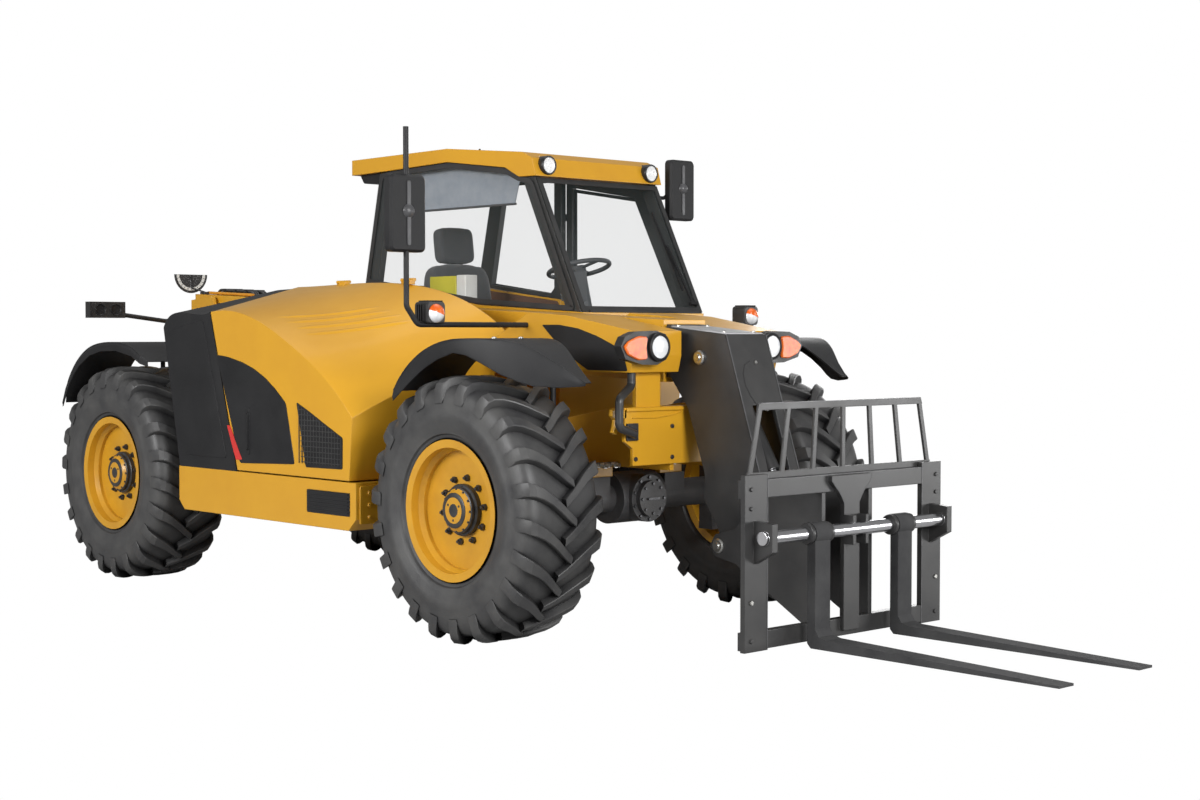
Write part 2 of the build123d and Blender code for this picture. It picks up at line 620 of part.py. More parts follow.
def controls():
    """Dash, steering column with its wheel, lever console and screen."""
    panel = [(-320, FLOOR_TOP), (-200, FLOOR_TOP), (-170, 1290), (10, 1465), (10, 1540), (-260, 1560), (-330, 1400)]
    dash = side_plate(panel, (240, 1060))
    wheel = Torus(175, 13) + Cylinder(40, 24)
    for turn in (0, 120, 240):
        wheel += Rot(0, 0, turn) * Pos(100, 0, 0) * Box(150, 26, 10)
    column = Pos(0, 0, -260) * Cylinder(36, 500)
    steering = Pos(-478, 650, 1810) * Rot(0, -15, 0) * (wheel + column)
    console = box((-1400, -800), (260, 400), (FLOOR_TOP, 1330))
    lever = upright(-900, 330, 12, (1325, 1480)) + upright(-900, 330, 24, (1480, 1530))
    screen = box((-200, -175), (270, 430), (1620, 1780)) + upright(-187, 300, 10, (1530, 1630))
    return dash + steering + console + lever + screen


# Boom
def boom_box(half, deep, x0, x1, top_drop):
    """A box section that follows the boom's slope."""
    outline = [(x0, boom_z(x0) - top_drop), (x1, boom_z(x1) - top_drop), (x1, boom_z(x1) - top_drop - deep),
               (x0, boom_z(x0) - top_drop - deep)]
    return side_plate(outline, (-half, half))


def boom_outer():
    body = boom_box(BOOM_HALF, BOOM_DEEP, BOOM_REAR[0], BOOM_FRONT[0], 0)
    body -= boom_box(BOOM_HALF - BOOM_WALL, BOOM_DEEP - 2 * BOOM_WALL, BOOM_REAR[0] + 300, BOOM_FRONT[0] - 90,
                     BOOM_WALL)
    slack = BOOM_DEEP / 2 - INNER_DEEP / 2 - 0.3
    body -= boom_box(INNER_HALF + 0.3, INNER_DEEP + 0.6, BOOM_FRONT[0] - 95, BOOM_FRONT[0] + 1, slack)
    body -= cross_shaft(PIVOT[0], PIVOT[1], PIVOT_R + 0.5, (-300, 300))
    under = boom_z(LIFT_EYE[0]) - BOOM_DEEP
    lug = [(LIFT_EYE[0] - 150, under + 8), (LIFT_EYE[0] + 150, under - 4), (LIFT_EYE[0] + 40, LIFT_EYE[1] - 40),
           (LIFT_EYE[0] - 40, LIFT_EYE[1] - 40)]
    stub = cross_shaft(LIFT_EYE[0], LIFT_EYE[1], 25, (LIFT_LUG_Y[0] - 9, LIFT_LUG_Y[1] + 12))
    cheek = side_plate(lug, LIFT_LUG_Y) + stub
    return body + cheek + mirrored(cheek)


def boom_hoses():
    a, b = BOOM_REAR[0] + 115, BOOM_REAR[0] + 565
    outline = [(a, boom_z(a) + 0.3), (b, boom_z(b) + 0.3), (b - 60, boom_z(b) + 60), (a + 60, boom_z(a) + 60)]
    return side_plate(outline, (-70, 70))


def boom_inner():
    drop = (BOOM_DEEP - INNER_DEEP) / 2
    body = boom_box(INNER_HALF, INNER_DEEP, -2900, 1030, drop)
    body -= boom_box(INNER_HALF - BOOM_WALL, INNER_DEEP - 2 * BOOM_WALL, -2901, 1000, drop + BOOM_WALL)
    return body + nose()


def nose():
    """The dog-leg head: two side plates, a front plate and the pins."""
    side = [(1009, 1478), (1404, 1440), (1619, 795), (1566, 750), (1528, 640), (1452, 430), (1394, 395),
            (1336, 440), (1368, 514), (1271, 657), (1270, 785), (1161, 1089), (1033, 1249)]
    cheek = side_plate(side, (NOSE_HALF - NOSE_PLATE, NOSE_HALF))
    body = cheek + mirrored(cheek)
    face = [(1404, 1440), (1619, 795), (1600, 789), (1385, 1434)]
    body += side_plate(face, (-NOSE_HALF, NOSE_HALF))
    body -= box((1460, 1700), (-75, 75), (750, 1110))
    body += side_plate([(1009, 1478), (1404, 1440), (1404, 1420), (1009, 1458)], (-NOSE_HALF, NOSE_HALF))
    back = [(1033, 1249), (1161, 1089), (1180, 1098), (1052, 1260)]
    body += side_plate(back, (-NOSE_HALF, NOSE_HALF))
    body += cross_shaft(TILT_BASE[0], TILT_BASE[1], PIN_R, (-NOSE_HALF - 10, NOSE_HALF + 10))
    body += cross_shaft(CARRIAGE_PIN[0], CARRIAGE_PIN[1], PIN_R, (-NOSE_HALF - 40, NOSE_HALF + 40))
    return body


def barrel(base, eye, r, closed, pin_r, wide):
    """Cylinder barrel with an eye on its base pin."""
    start = toward(base, eye, pin_r + 14)
    end = toward(base, eye, closed)
    body = rod_between(start, end, r)
    body += cross_shaft(base[0], base[1], pin_r + 22, (-wide, wide))
    bore_end = toward(base, eye, closed + 1)
    body -= rod_between(toward(base, eye, pin_r + 60), bore_end, r - 14)
    return body - cross_shaft(base[0], base[1], pin_r + 0.5, (-wide - 1, wide + 1))


def rod(base, eye, r, start, pin_r, wide, bore_r):
    """Piston rod with an eye at its end."""
    body = rod_between(toward(base, eye, start), toward(eye, base, pin_r + 10), r)
    body += rod_between(toward(base, eye, start), toward(base, eye, start + 40), bore_r)
    body += cross_shaft(eye[0], eye[1], pin_r + 22, (-wide, wide))
    return body - cross_shaft(eye[0], eye[1], pin_r + 0.5, (-wide - 1, wide + 1))


def lift_barrel():
    return barrel(LIFT_BASE, LIFT_EYE, LIFT_BARREL_R, 1050, 30, 60)


def lift_rod():
    return rod(LIFT_BASE, LIFT_EYE, LIFT_ROD_R, 110, 25, 55, LIFT_BARREL_R - 14.5)


def tilt_barrel():
    return barrel(TILT_BASE, TILT_EYE, TILT_BARREL_R, 620, PIN_R, 45)


def tilt_rod():
    return rod(TILT_BASE, TILT_EYE, TILT_ROD_R, 175, PIN_R, 40, TILT_BARREL_R - 14.5)


# Carriage and forks
def carriage():
    back = (CARRIAGE_X - PLATE_THICK, CARRIAGE_X)
    plate = box(back, (CARRIAGE_HALF - PLATE_WIDE, CARRIAGE_HALF), (CARRIAGE_LOW, CARRIAGE_TOP))
    body = plate + mirrored(plate)
    body += box((CARRIAGE_X - 40, CARRIAGE_X), (-CARRIAGE_HALF, CARRIAGE_HALF), (743, 820))
    body += box((CARRIAGE_X - 40, CARRIAGE_X), (-CARRIAGE_HALF, CARRIAGE_HALF), (95, 173))
    ear = side_plate([(CARRIAGE_X - 5, 462), (SHAFT[0] + 45, 520), (SHAFT[0] + 45, 640), (CARRIAGE_X - 5, 647)],
                     (CARRIAGE_HALF - 90, CARRIAGE_HALF - 55))
    body += ear + mirrored(ear)
    body += cross_shaft(SHAFT[0], SHAFT[1], SHAFT_R, (40 - CARRIAGE_HALF, CARRIAGE_HALF - 40))
    arm = [(CARRIAGE_PIN[0] - 20, CARRIAGE_PIN[1] - 52), (1500, 380), (CARRIAGE_X - 30, 100), (CARRIAGE_X - 5, 100),
           (CARRIAGE_X - 5, 815), (1920, 815), (TILT_EYE[0] - 30, 760), (1640, 700), (1500, 540),
           (CARRIAGE_PIN[0] - 20, CARRIAGE_PIN[1] + 52), (CARRIAGE_PIN[0] - 54, CARRIAGE_PIN[1])]
    for y in ((150, 175), (-175, -150)):
        body += side_plate(arm, y)
    body -= cross_shaft(CARRIAGE_PIN[0], CARRIAGE_PIN[1], PIN_R + 0.5, (-200, 200))
    body += front_plate(CENTRE_PLATE, (CARRIAGE_X - 1, CARRIAGE_X + 22))
    for y in ((-54, -34), (34, 54)):
        body += box((CARRIAGE_X + 20, SHAFT[0] + 14), y, (SHAFT[1] - 70, SHAFT[1] + 60))
    stub = cross_shaft(TILT_EYE[0], TILT_EYE[1], PIN_R, (42, 187))
    return body + stub + mirrored(stub)


def load_guard():
    low, top = 820.3, GUARD_TOP
    x = (CARRIAGE_X - 39, CARRIAGE_X - 27)
    foot, head = CARRIAGE_HALF - 40, CARRIAGE_HALF - 120
    body = front_plate([(-foot, low), (foot, low), (foot - 10, low + 30), (10 - foot, low + 30)], x)
    body += front_plate([(-head - 10, top - 30), (head + 10, top - 30), (head, top), (-head, top)], x)
    count = 7
    for i in range(count):
        share = -1 + 2 * i / (count - 1)
        y_low, y_top = share * (foot - 20), share * (head - 12)
        body += front_plate([(y_low - 12, low), (y_low + 12, low), (y_top + 12, top), (y_top - 12, top)], x)
    return body


def fork(y_mid):
    """A forged tine: eye on the shaft, shank and tapered blade."""
    y = (y_mid - FORK_WIDE / 2, y_mid + FORK_WIDE / 2)
    back = SHAFT[0] - 8
    front = back + FORK_THICK
    outline = [(back, SHAFT[1]), (back, FORK_Z + 20), (back + 20, FORK_Z), (FORK_TIP_X, FORK_Z),
               (FORK_TIP_X, FORK_Z + 10), (front + 60, FORK_Z + FORK_THICK), (front + 20, FORK_Z + FORK_THICK + 10),
               (front, FORK_Z + FORK_THICK + 40), (front, SHAFT[1])]
    body = side_plate(outline, y) + cross_shaft(SHAFT[0], SHAFT[1], SHAFT_R + 18, y)
    return body - cross_shaft(SHAFT[0], SHAFT[1], SHAFT_R + 0.5, (y[0] - 1, y[1] + 1))


def parts():
    front_left = knuckle(FRONT_X, 1)
    rear_left = knuckle(REAR_X, -1)
    front_guard = fender(FRONT_X, FRONT_GUARD, FRONT_GUARD_PLAN, 1)
    rear_guard = fender(REAR_X, REAR_GUARD, REAR_GUARD_PLAN, -1)
    shapes = {
        "frame": frame(), "front_axle": axle(FRONT_X, 1), "rear_axle": axle(REAR_X, -1),
        "engine_block": engine_block(), "sill": sill(), "rear_cowl": rear_cowl(),
        "hood": hood(), "fairing": fairing(), "lamps": lamps(), "mirrors": mirrors(),
        "guard_tube": guard_tube(), "angle_indicator": angle_indicator(), "tank_steps": tank_steps(),
        "cab_frame": cab_frame(), "cab_posts": cab_posts(), "cab_roof": cab_roof(), "cab_glass": cab_glass(),
        "door": door(), "door_glass": door_glass(), "seat": seat(), "controls": controls(), "boom_outer": boom_outer(),
        "boom_hoses": boom_hoses(), "boom_inner": boom_inner(), "lift_barrel": lift_barrel(),
        "lift_rod": lift_rod(), "tilt_barrel": tilt_barrel(), "tilt_rod": tilt_rod(), "carriage": carriage(),
        "load_guard": load_guard(), "fork_right": fork(FORK_Y[0]), "fork_left": fork(FORK_Y[1]),
        "front_steer_rod": steer_rod(FRONT_X, 1), "rear_steer_rod": steer_rod(REAR_X, -1),
        "knuckle_front_left": front_left, "knuckle_front_right": mirrored(front_left),
        "knuckle_rear_left": rear_left, "knuckle_rear_right": mirrored(rear_left),
        "fender_front_left": front_guard, "fender_front_right": mirrored(front_guard),
        "fender_rear_left": rear_guard, "fender_rear_right": mirrored(rear_guard),
    }
    one_tyre, one_rim = tyre(), rim()
    for end, x in (("front", FRONT_X), ("rear", REAR_X)):
        for name, side in (("left", 1), ("right", -1)):
            shapes["tyre_" + end + "_" + name] = placed_wheel(one_tyre, x, side)
            shapes["rim_" + end + "_" + name] = placed_wheel(one_rim, x, side)
    return shapes


os.makedirs("parts", exist_ok=True)
for node, shape in parts().items():
    export_step(shape, "parts/" + node + ".step")
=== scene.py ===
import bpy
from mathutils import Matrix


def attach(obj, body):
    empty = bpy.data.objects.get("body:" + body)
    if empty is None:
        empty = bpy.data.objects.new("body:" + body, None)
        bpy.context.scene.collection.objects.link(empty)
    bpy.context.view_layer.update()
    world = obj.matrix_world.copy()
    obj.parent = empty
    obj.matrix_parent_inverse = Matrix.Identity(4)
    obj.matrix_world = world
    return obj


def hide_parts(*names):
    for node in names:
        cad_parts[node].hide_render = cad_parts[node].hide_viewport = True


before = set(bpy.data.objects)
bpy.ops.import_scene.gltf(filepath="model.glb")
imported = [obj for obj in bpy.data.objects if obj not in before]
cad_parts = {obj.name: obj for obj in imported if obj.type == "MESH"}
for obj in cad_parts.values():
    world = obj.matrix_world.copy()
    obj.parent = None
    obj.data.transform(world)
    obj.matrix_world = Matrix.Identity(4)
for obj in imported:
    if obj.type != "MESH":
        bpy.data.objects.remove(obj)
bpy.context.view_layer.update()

from math import cos, pi, radians, sin, tau

import bmesh
import bpy
from mathutils import Matrix, Vector

scene = bpy.context.scene
scene.view_settings.view_transform = "Standard"

# Camera: at the photographer's place, off the machine's right front corner and a little above
# its axles. Its lens and aim were solved from the outlines of the rims.
CAMERA_PLACE = (7.3131, -6.4322, 1.4426)
CAMERA_YAW = 2.39251
CAMERA_PITCH = -0.03585
SENSOR_WIDE = 36
PHOTO_WIDE = 1200
FOCAL_PIXELS = 1850.97
camera = bpy.data.objects.new("camera", bpy.data.cameras.new("camera"))
camera.data.sensor_width = SENSOR_WIDE
camera.data.lens = FOCAL_PIXELS / PHOTO_WIDE * SENSOR_WIDE
camera.location = CAMERA_PLACE
level_part = cos(CAMERA_PITCH)
looking = Vector((level_part * cos(CAMERA_YAW), level_part * sin(CAMERA_YAW), sin(CAMERA_PITCH)))
camera.rotation_mode = "QUATERNION"
camera.rotation_quaternion = looking.to_track_quat("-Z", "Y")
scene.collection.objects.link(camera)
scene.camera = camera


# Studio floor: a wide sheet of paper that the camera sees as plain white. Lamps find it a mid
# grey, so that the light it throws up under the machine stays soft.
def add_mesh(name, verts, faces, smooth=35):
    """A mesh object from points and faces, normals outward, creases kept above an angle in degrees."""
    mesh = bpy.data.meshes.new(name)
    mesh.from_pydata(verts, [], faces)
    work = bmesh.new()
    work.from_mesh(mesh)
    bmesh.ops.recalc_face_normals(work, faces=work.faces)
    for edge in work.edges:
        edge.smooth = len(edge.link_faces) == 2 and edge.calc_face_angle(0) < radians(smooth)
    for face in work.faces:
        face.smooth = smooth > 0
    work.to_mesh(mesh)
    work.free()
    made = bpy.data.objects.new(name, mesh)
    scene.collection.objects.link(made)
    return made


def fill(tree, node, inputs):
    """Sets a node's inputs, each to a value or to the output of another node."""
    for socket, value in inputs.items():
        if isinstance(value, bpy.types.NodeSocket):
            tree.links.new(value, node.inputs[socket])
        else:
            node.inputs[socket].default_value = value


def add_node(tree, kind, inputs=None, **settings):
    """A shader node of a kind, with its settings made before its inputs."""
    made = tree.nodes.new("ShaderNode" + kind)
    for name, value in settings.items():
        setattr(made, name, value)
    fill(tree, made, inputs or {})
    return made


FLOOR_HALF = 60
STUDIO_GREY = (0.42, 0.42, 0.42, 1)
floor_paper = bpy.data.materials.new("studio_floor")
floor_paper.use_nodes = True
tree = floor_paper.node_tree
tree.nodes.clear()
ray = add_node(tree, "LightPath")
lit = add_node(tree, "BsdfDiffuse", {"Color": STUDIO_GREY})
seen = add_node(tree, "Emission")
mixed = add_node(tree, "MixShader", {"Fac": ray.outputs["Is Camera Ray"], 1: lit.outputs[0], 2: seen.outputs[0]})
add_node(tree, "OutputMaterial", {"Surface": mixed.outputs[0]})
floor = add_mesh("studio_floor", [(-FLOOR_HALF, -FLOOR_HALF, 0), (FLOOR_HALF, -FLOOR_HALF, 0),
                                  (FLOOR_HALF, FLOOR_HALF, 0), (-FLOOR_HALF, FLOOR_HALF, 0)], [(0, 1, 2, 3)])
floor.data.materials.append(floor_paper)

# Studio walls and lamps: white walls all round and five large soft lamps, with the key lamp
# high on the machine's right, and the others above, in front, on its left and far ahead of it.
WALLS_LIT, WALLS_SEEN = 0.27, 1.0
world = bpy.data.worlds.new("studio")
world.use_nodes = True
scene.world = world
tree = world.node_tree
ray = add_node(tree, "LightPath")
seen = add_node(tree, "Math", {0: ray.outputs["Is Camera Ray"], 1: ray.outputs["Is Transmission Ray"]},
                operation="MAXIMUM")
strength = add_node(tree, "MapRange", {"Value": seen.outputs[0], "To Min": WALLS_LIT, "To Max": WALLS_SEEN})
fill(tree, tree.nodes["Background"], {"Color": (1, 1, 1, 1), "Strength": strength.outputs[0]})


def add_lamp(name, place, aim, size, watts):
    """A rectangular soft lamp that points at a place on the machine."""
    lamp = bpy.data.lights.new(name, "AREA")
    lamp.shape = "RECTANGLE"
    lamp.size, lamp.size_y = size
    lamp.energy = watts
    made = bpy.data.objects.new(name, lamp)
    made.location = place
    made.rotation_mode = "QUATERNION"
    made.rotation_quaternion = (Vector(aim) - Vector(place)).to_track_quat("-Z", "Y")
    scene.collection.objects.link(made)


add_lamp("key_lamp", (-0.5, -10.0, 4.2), (-0.8, 0, 1.0), (6, 3), 850)
add_lamp("top_lamp", (-1.5, 2.0, 8.5), (-0.5, 0, 0.8), (7, 4), 150)
add_lamp("front_lamp", (9.0, -2.5, 3.6), (0.5, 0, 1.0), (3, 3), 700)
add_lamp("back_lamp", (-4.0, 10.5, 3.6), (-1.0, 0, 1.0), (6, 3), 320)
add_lamp("far_lamp", (9.5, 8.5, 1.6), (1.6, 0, 0.8), (6, 3), 420)


# Yellow body panels: pressed and welded sheet steel under a gloss enamel that drifts a little
# in shade, with bends softened as in real sheet.
def finish(name, colour, second, scale, rough, grain=0.0, grain_size=300, metal=0.0, coat=0.0,
           spread=0.5, shine=0.5, edge=0.0):
    """A material whose colour and gloss drift softly between two shades, with an even fine grain."""
    made = bpy.data.materials.new(name)
    made.use_nodes = True
    tree = made.node_tree
    place = add_node(tree, "TexCoord").outputs["Object"]
    cloud = add_node(tree, "TexNoise", {"Vector": place, "Scale": scale, "Detail": 6, "Roughness": 0.6})
    share = add_node(tree, "MapRange", {"Value": cloud.outputs["Fac"], "From Min": 0.5 - spread / 2,
                                        "From Max": 0.5 + spread / 2}).outputs[0]
    shade = add_node(tree, "Mix", {"Factor": share, "A": (*colour, 1), "B": (*second, 1)}, data_type="RGBA")
    dull = add_node(tree, "MapRange", {"Value": share, "To Min": rough[0], "To Max": rough[1]})
    shader = tree.nodes["Principled BSDF"]
    fill(tree, shader, {"Base Color": shade.outputs["Result"], "Roughness": dull.outputs[0],
                        "Metallic": metal, "Coat Weight": coat, "Coat Roughness": 0.08,
                        "Specular IOR Level": shine})
    if grain:
        fine = add_node(tree, "TexNoise", {"Vector": place, "Scale": grain_size, "Detail": 3})
        bump = add_node(tree, "Bump", {"Strength": grain, "Distance": 0.002, "Height": fine.outputs["Fac"]})
        fill(tree, shader, {"Normal": bump.outputs["Normal"]})
        if edge:
            rounded = add_node(tree, "Bevel", {"Radius": edge}, samples=6)
            fill(tree, bump, {"Normal": rounded.outputs[0]})
    return made


def wear(look, *nodes):
    """Gives CAD nodes their finish."""
    for node in nodes:
        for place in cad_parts[node].material_slots:
            place.material = look


yellow_enamel = finish("yellow_enamel", (0.63, 0.325, 0.018), (0.56, 0.275, 0.014), 2.2, (0.30, 0.42), 0.05, 220,
                       coat=0.12, edge=0.007)
wear(yellow_enamel, "frame", "sill", "hood", "fairing", "cab_frame", "cab_roof", "boom_outer")

# Black steel: the boom's head, the fork frame, the cylinders' barrels and small brackets, of
# welded plate in a satin black enamel.
black_enamel = finish("black_enamel", (0.024, 0.024, 0.025), (0.040, 0.039, 0.038), 5, (0.28, 0.42), 0.08, 260,
                      edge=0.005)
wear(black_enamel, "boom_inner", "load_guard", "guard_tube", "lift_barrel", "tilt_barrel", "angle_indicator",
     "cab_posts")

# Black mouldings: mudguards, rear cowl, steps and mirror shells, injection moulded in a finely
# grained plastic that drifts between two near blacks.
CORNERS = [f"{end}_{side}" for end in ("front", "rear") for side in ("left", "right")]
black_moulding = finish("black_moulding", (0.010, 0.010, 0.011), (0.020, 0.020, 0.021), 3, (0.42, 0.58), 0.25, 900,
                        shine=0.3)
wear(black_moulding, "rear_cowl", "boom_hoses", "tank_steps", "mirrors", *[f"fender_{c}" for c in CORNERS])

# Castings: axle housings, steering knuckles and the engine's block, in rough cast iron under
# thin black paint.
cast_black = finish("cast_black", (0.035, 0.035, 0.038), (0.075, 0.072, 0.07), 9, (0.45, 0.7), 0.5, 140)
wear(cast_black, "front_axle", "rear_axle", "engine_block", *[f"knuckle_{c}" for c in CORNERS])

# Hard chrome: the cylinders' rods and the steering rods, plated, ground and polished so that
# the seals last.
hard_chrome = finish("hard_chrome", (0.78, 0.78, 0.8), (0.6, 0.6, 0.62), 14, (0.12, 0.25), 0.03, 500, metal=1.0)
wear(hard_chrome, "lift_rod", "tilt_rod", "front_steer_rod", "rear_steer_rod")


# Cab panes: clear toughened glass with a faint cool tint, bonded into the frame and the door,
# with the slight smears of a used machine.
def see_through(name, colour, alpha):
    """A clear material, with its node tree and its shader."""
    made = bpy.data.materials.new(name)
    made.use_nodes = True
    shader = made.node_tree.nodes["Principled BSDF"]
    fill(made.node_tree, shader, {"Base Color": (*colour, 1), "Alpha": alpha})
    return made, made.node_tree, shader


clear_glass, tree, shader = see_through("clear_glass", (0.10, 0.13, 0.13), 0.055)
smear = add_node(tree, "TexNoise", {"Scale": 3})
smear_rough = add_node(tree, "MapRange", {"Value": smear.outputs["Fac"], "To Min": 0.01, "To Max": 0.05})
fill(tree, shader, {"IOR": 1.3, "Roughness": smear_rough.outputs[0]})
wear(clear_glass, "cab_glass", "door_glass")

# Tyres: radial farm tyres in black rubber with dust on the open faces and painted shade that darkens the
# gaps between the bars, moulded with twenty-two long bars a side that meet in a V. They sit on the rims' beads.
FRONT_X = 0.605
REAR_X = -2.595
AXLE_Z = 0.625
TRACK_HALF = 0.94
# The carcass, from bead to crown: radius, and place across
CARCASS = [(0.306, 0.180), (0.331, 0.184), (0.338, 0.197), (0.352, 0.202), (0.358, 0.212), (0.376, 0.216),
           (0.384, 0.2205), (0.412, 0.2235), (0.420, 0.2272), (0.452, 0.2290), (0.460, 0.2262), (0.492, 0.2255),
           (0.520, 0.2215), (0.546, 0.213), (0.564, 0.201), (0.577, 0.182), (0.5845, 0.150), (0.587, 0.10),
           (0.588, 0.0)]
BARS_A_SIDE = 22
# Along a bar: place across the tyre, lead round it, top and foot radius, half width at the top
BAR_PATH = [(-0.030, -0.040, 0.6215, 0.578, 0.0185), (0.012, 0.012, 0.6245, 0.578, 0.0210),
            (0.062, 0.082, 0.6248, 0.578, 0.0230), (0.110, 0.142, 0.6240, 0.576, 0.0245),
            (0.155, 0.186, 0.6215, 0.570, 0.0265), (0.192, 0.214, 0.6130, 0.556, 0.0290),
            (0.214, 0.229, 0.5930, 0.535, 0.0300), (0.2245, 0.238, 0.5650, 0.515, 0.0285),
            (0.2285, 0.244, 0.5300, 0.500, 0.0240)]


def lathe(profile, turns, closed=False):
    """Points and faces of a profile of (radius, y) turned about Y, closed on itself if asked."""
    verts, faces, rows = [], [], len(profile)
    for i in range(turns):
        a = tau * i / turns
        verts += [(r * cos(a), y, r * sin(a)) for r, y in profile]
    for i in range(turns):
        j = (i + 1) % turns
        for k in range(rows if closed else rows - 1):
            m = (k + 1) % rows
            faces.append((i * rows + k, i * rows + m, j * rows + m, j * rows + k))
    return verts, faces


def rings(rows, count):
    """Faces between rings of count points each, closed at both ends."""
    faces = []
    for i in range(rows - 1):
        for k in range(count):
            m = (k + 1) % count
            faces.append((i * count + k, i * count + m, (i + 1) * count + m, (i + 1) * count + k))
    last = (rows - 1) * count
    return faces + [tuple(range(count)), tuple(range(last, last + count))]


def tread_bar(turn, side):
    """One bar of the tread, as a loft of six-sided sections along its path."""
    verts = []
    for y, lead, top, foot, half in BAR_PATH:
        middle = turn + lead
        row = [(foot, half + 0.007), (top - 0.004, half + 0.001), (top, half - 0.003)]
        for r, w in row + [(r, -w) for r, w in reversed(row)]:
            a = middle + w / top
            verts.append((r * cos(a), side * y, r * sin(a)))
    return verts, rings(len(BAR_PATH), 6)


def gather(groups):
    """Several lists of points and faces as one."""
    verts, faces = [], []
    for some_verts, some_faces in groups:
        start = len(verts)
        verts += some_verts
        faces += [tuple(start + k for k in face) for face in some_faces]
    return verts, faces


def moved(shape, x=0.0, y=0.0, z=0.0, s=1):
    """A shape carried to a place, and first mirrored left to right when s is -1."""
    verts, faces = shape
    return [(x + a, y + s * b, z + c) for a, b, c in verts], faces


def fit(name, shape, look, body, smooth=35):
    """Makes a piece, gives it its finish and fixes it to its body."""
    piece = add_mesh(name, shape[0], shape[1], smooth)
    piece.data.materials.append(look)
    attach(piece, body)
    return piece


carcass = CARCASS + [(r, -y) for r, y in reversed(CARCASS[:-1])]
bars = []
for i in range(BARS_A_SIDE):
    bars.append(tread_bar(tau * i / BARS_A_SIDE, 1))
    bars.append(tread_bar(tau * (i + 0.5) / BARS_A_SIDE, -1))
farm_tyre = gather([lathe(carcass, 96, closed=True)] + bars)

tyre_rubber = finish("tyre_rubber", (0.030, 0.030, 0.032), (0.070, 0.069, 0.067), 7, (0.36, 0.60), 0.3, 240)
tree = tyre_rubber.node_tree
shader = tree.nodes["Principled BSDF"]
dusty_rubber = shader.inputs["Base Color"].links[0].from_socket
# Painted shade: where ambient occlusion finds the rubber closed in, in the gaps between the bars, its colour falls to
# near black; the open faces keep the dusty rubber.
gap_shade_ao = add_node(tree, "AmbientOcclusion", {"Distance": 0.07})
dust_and_shade = add_node(tree, "MapRange", {"Value": gap_shade_ao.outputs["AO"], "From Min": 0.45, "From Max": 0.95})
shaded_gaps = add_node(tree, "Mix", {"Factor": dust_and_shade.outputs[0], "A": (0.006, 0.006, 0.0065, 1), "B": dusty_rubber},
                data_type="RGBA")
fill(tree, shader, {"Base Color": shaded_gaps.outputs["Result"]})
WHEELS = [(end, x, side, s) for end, x in (("front", FRONT_X), ("rear", REAR_X))
          for side, s in (("left", 1), ("right", -1))]
for end, x, side, s in WHEELS:
    tyre = fit(f"farm_tyre_{end}_{side}", moved(farm_tyre, x, s * TRACK_HALF, AXLE_Z, s), tyre_rubber,
               f"wheel_{end}_{side}", 27)
    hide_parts(f"tyre_{end}_{side}")

# Rims: rolled steel rims with welded discs, in the yellow enamel, drifting to a shade
# darker than the body's.
rim_enamel = finish("rim_enamel", (0.62, 0.32, 0.020), (0.50, 0.24, 0.014), 6, (0.28, 0.42), 0.06, 200, coat=0.12)
wear(rim_enamel, *[f"rim_{end}_{side}" for end, _, side, _ in WHEELS])

# Hubs: black cast planet-gear housings with rings of cover bolts, each held to its rim by ten
# studs with dark nuts.
# The housing's outline, from its middle outward: radius, and place across the machine
HUB_PROFILE = [(0.0, 1.1215), (0.030, 1.1215), (0.034, 1.1160), (0.058, 1.1160), (0.062, 1.1210),
               (0.079, 1.1205), (0.0830, 1.1180), (0.0850, 1.1010), (0.1040, 1.0985), (0.1080, 1.0950),
               (0.1085, 1.0790), (0.1180, 1.0775), (0.1215, 1.0740), (0.1215, 1.0500), (0.1150, 1.0470)]
COVER_FACE, CAP_FACE, FLANGE_FACE = 1.0985, 1.1160, 1.0765
NUT_RING, NUT_FACE, NUT_HIGH = 0.152, 1.0500, 0.018


def hexagon(middle, face, r, high, turn=0.0):
    """A hexagon head that stands out along Y from a face."""
    x, z = middle
    verts = []
    for y, scale in ((face, 1.0), (face + high * 0.8, 1.0), (face + high, 0.86)):
        for k in range(6):
            a = turn + tau * k / 6
            verts.append((x + scale * r * cos(a), y, z + scale * r * sin(a)))
    return verts, rings(3, 6)


def heads_round(count, ring, face, r, high, start=0.0):
    """A ring of hexagon heads about the axle."""
    turns = [start + tau * k / count for k in range(count)]
    return [hexagon((ring * cos(a), ring * sin(a)), face, r, high, a) for a in turns]


hub_iron = finish("hub_iron", (0.02, 0.02, 0.022), (0.045, 0.044, 0.043), 18, (0.3, 0.5), 0.35, 200)
nut_steel = finish("nut_steel", (0.10, 0.10, 0.105), (0.05, 0.05, 0.052), 60, (0.3, 0.45), 0.1, 500, metal=0.7)
hub = gather([lathe(HUB_PROFILE, 48)] + heads_round(12, 0.0955, COVER_FACE, 0.0072, 0.006)
             + heads_round(3, 0.046, CAP_FACE, 0.0065, 0.006, 0.5)
             + heads_round(10, 0.113, FLANGE_FACE, 0.0045, 0.004, 0.2))
nuts = gather(heads_round(10, NUT_RING, NUT_FACE, 0.0165, NUT_HIGH, 0.15)
              + heads_round(10, NUT_RING, NUT_FACE + NUT_HIGH, 0.0085, 0.012, 0.15))
for end, x, side, s in WHEELS:
    for name, look, shape in (("planet_hub", hub_iron, hub), ("wheel_nuts", nut_steel, nuts)):
        fit(f"{name}_{end}_{side}", moved(shape, x, 0.0, AXLE_Z, s), look, f"wheel_{end}_{side}")

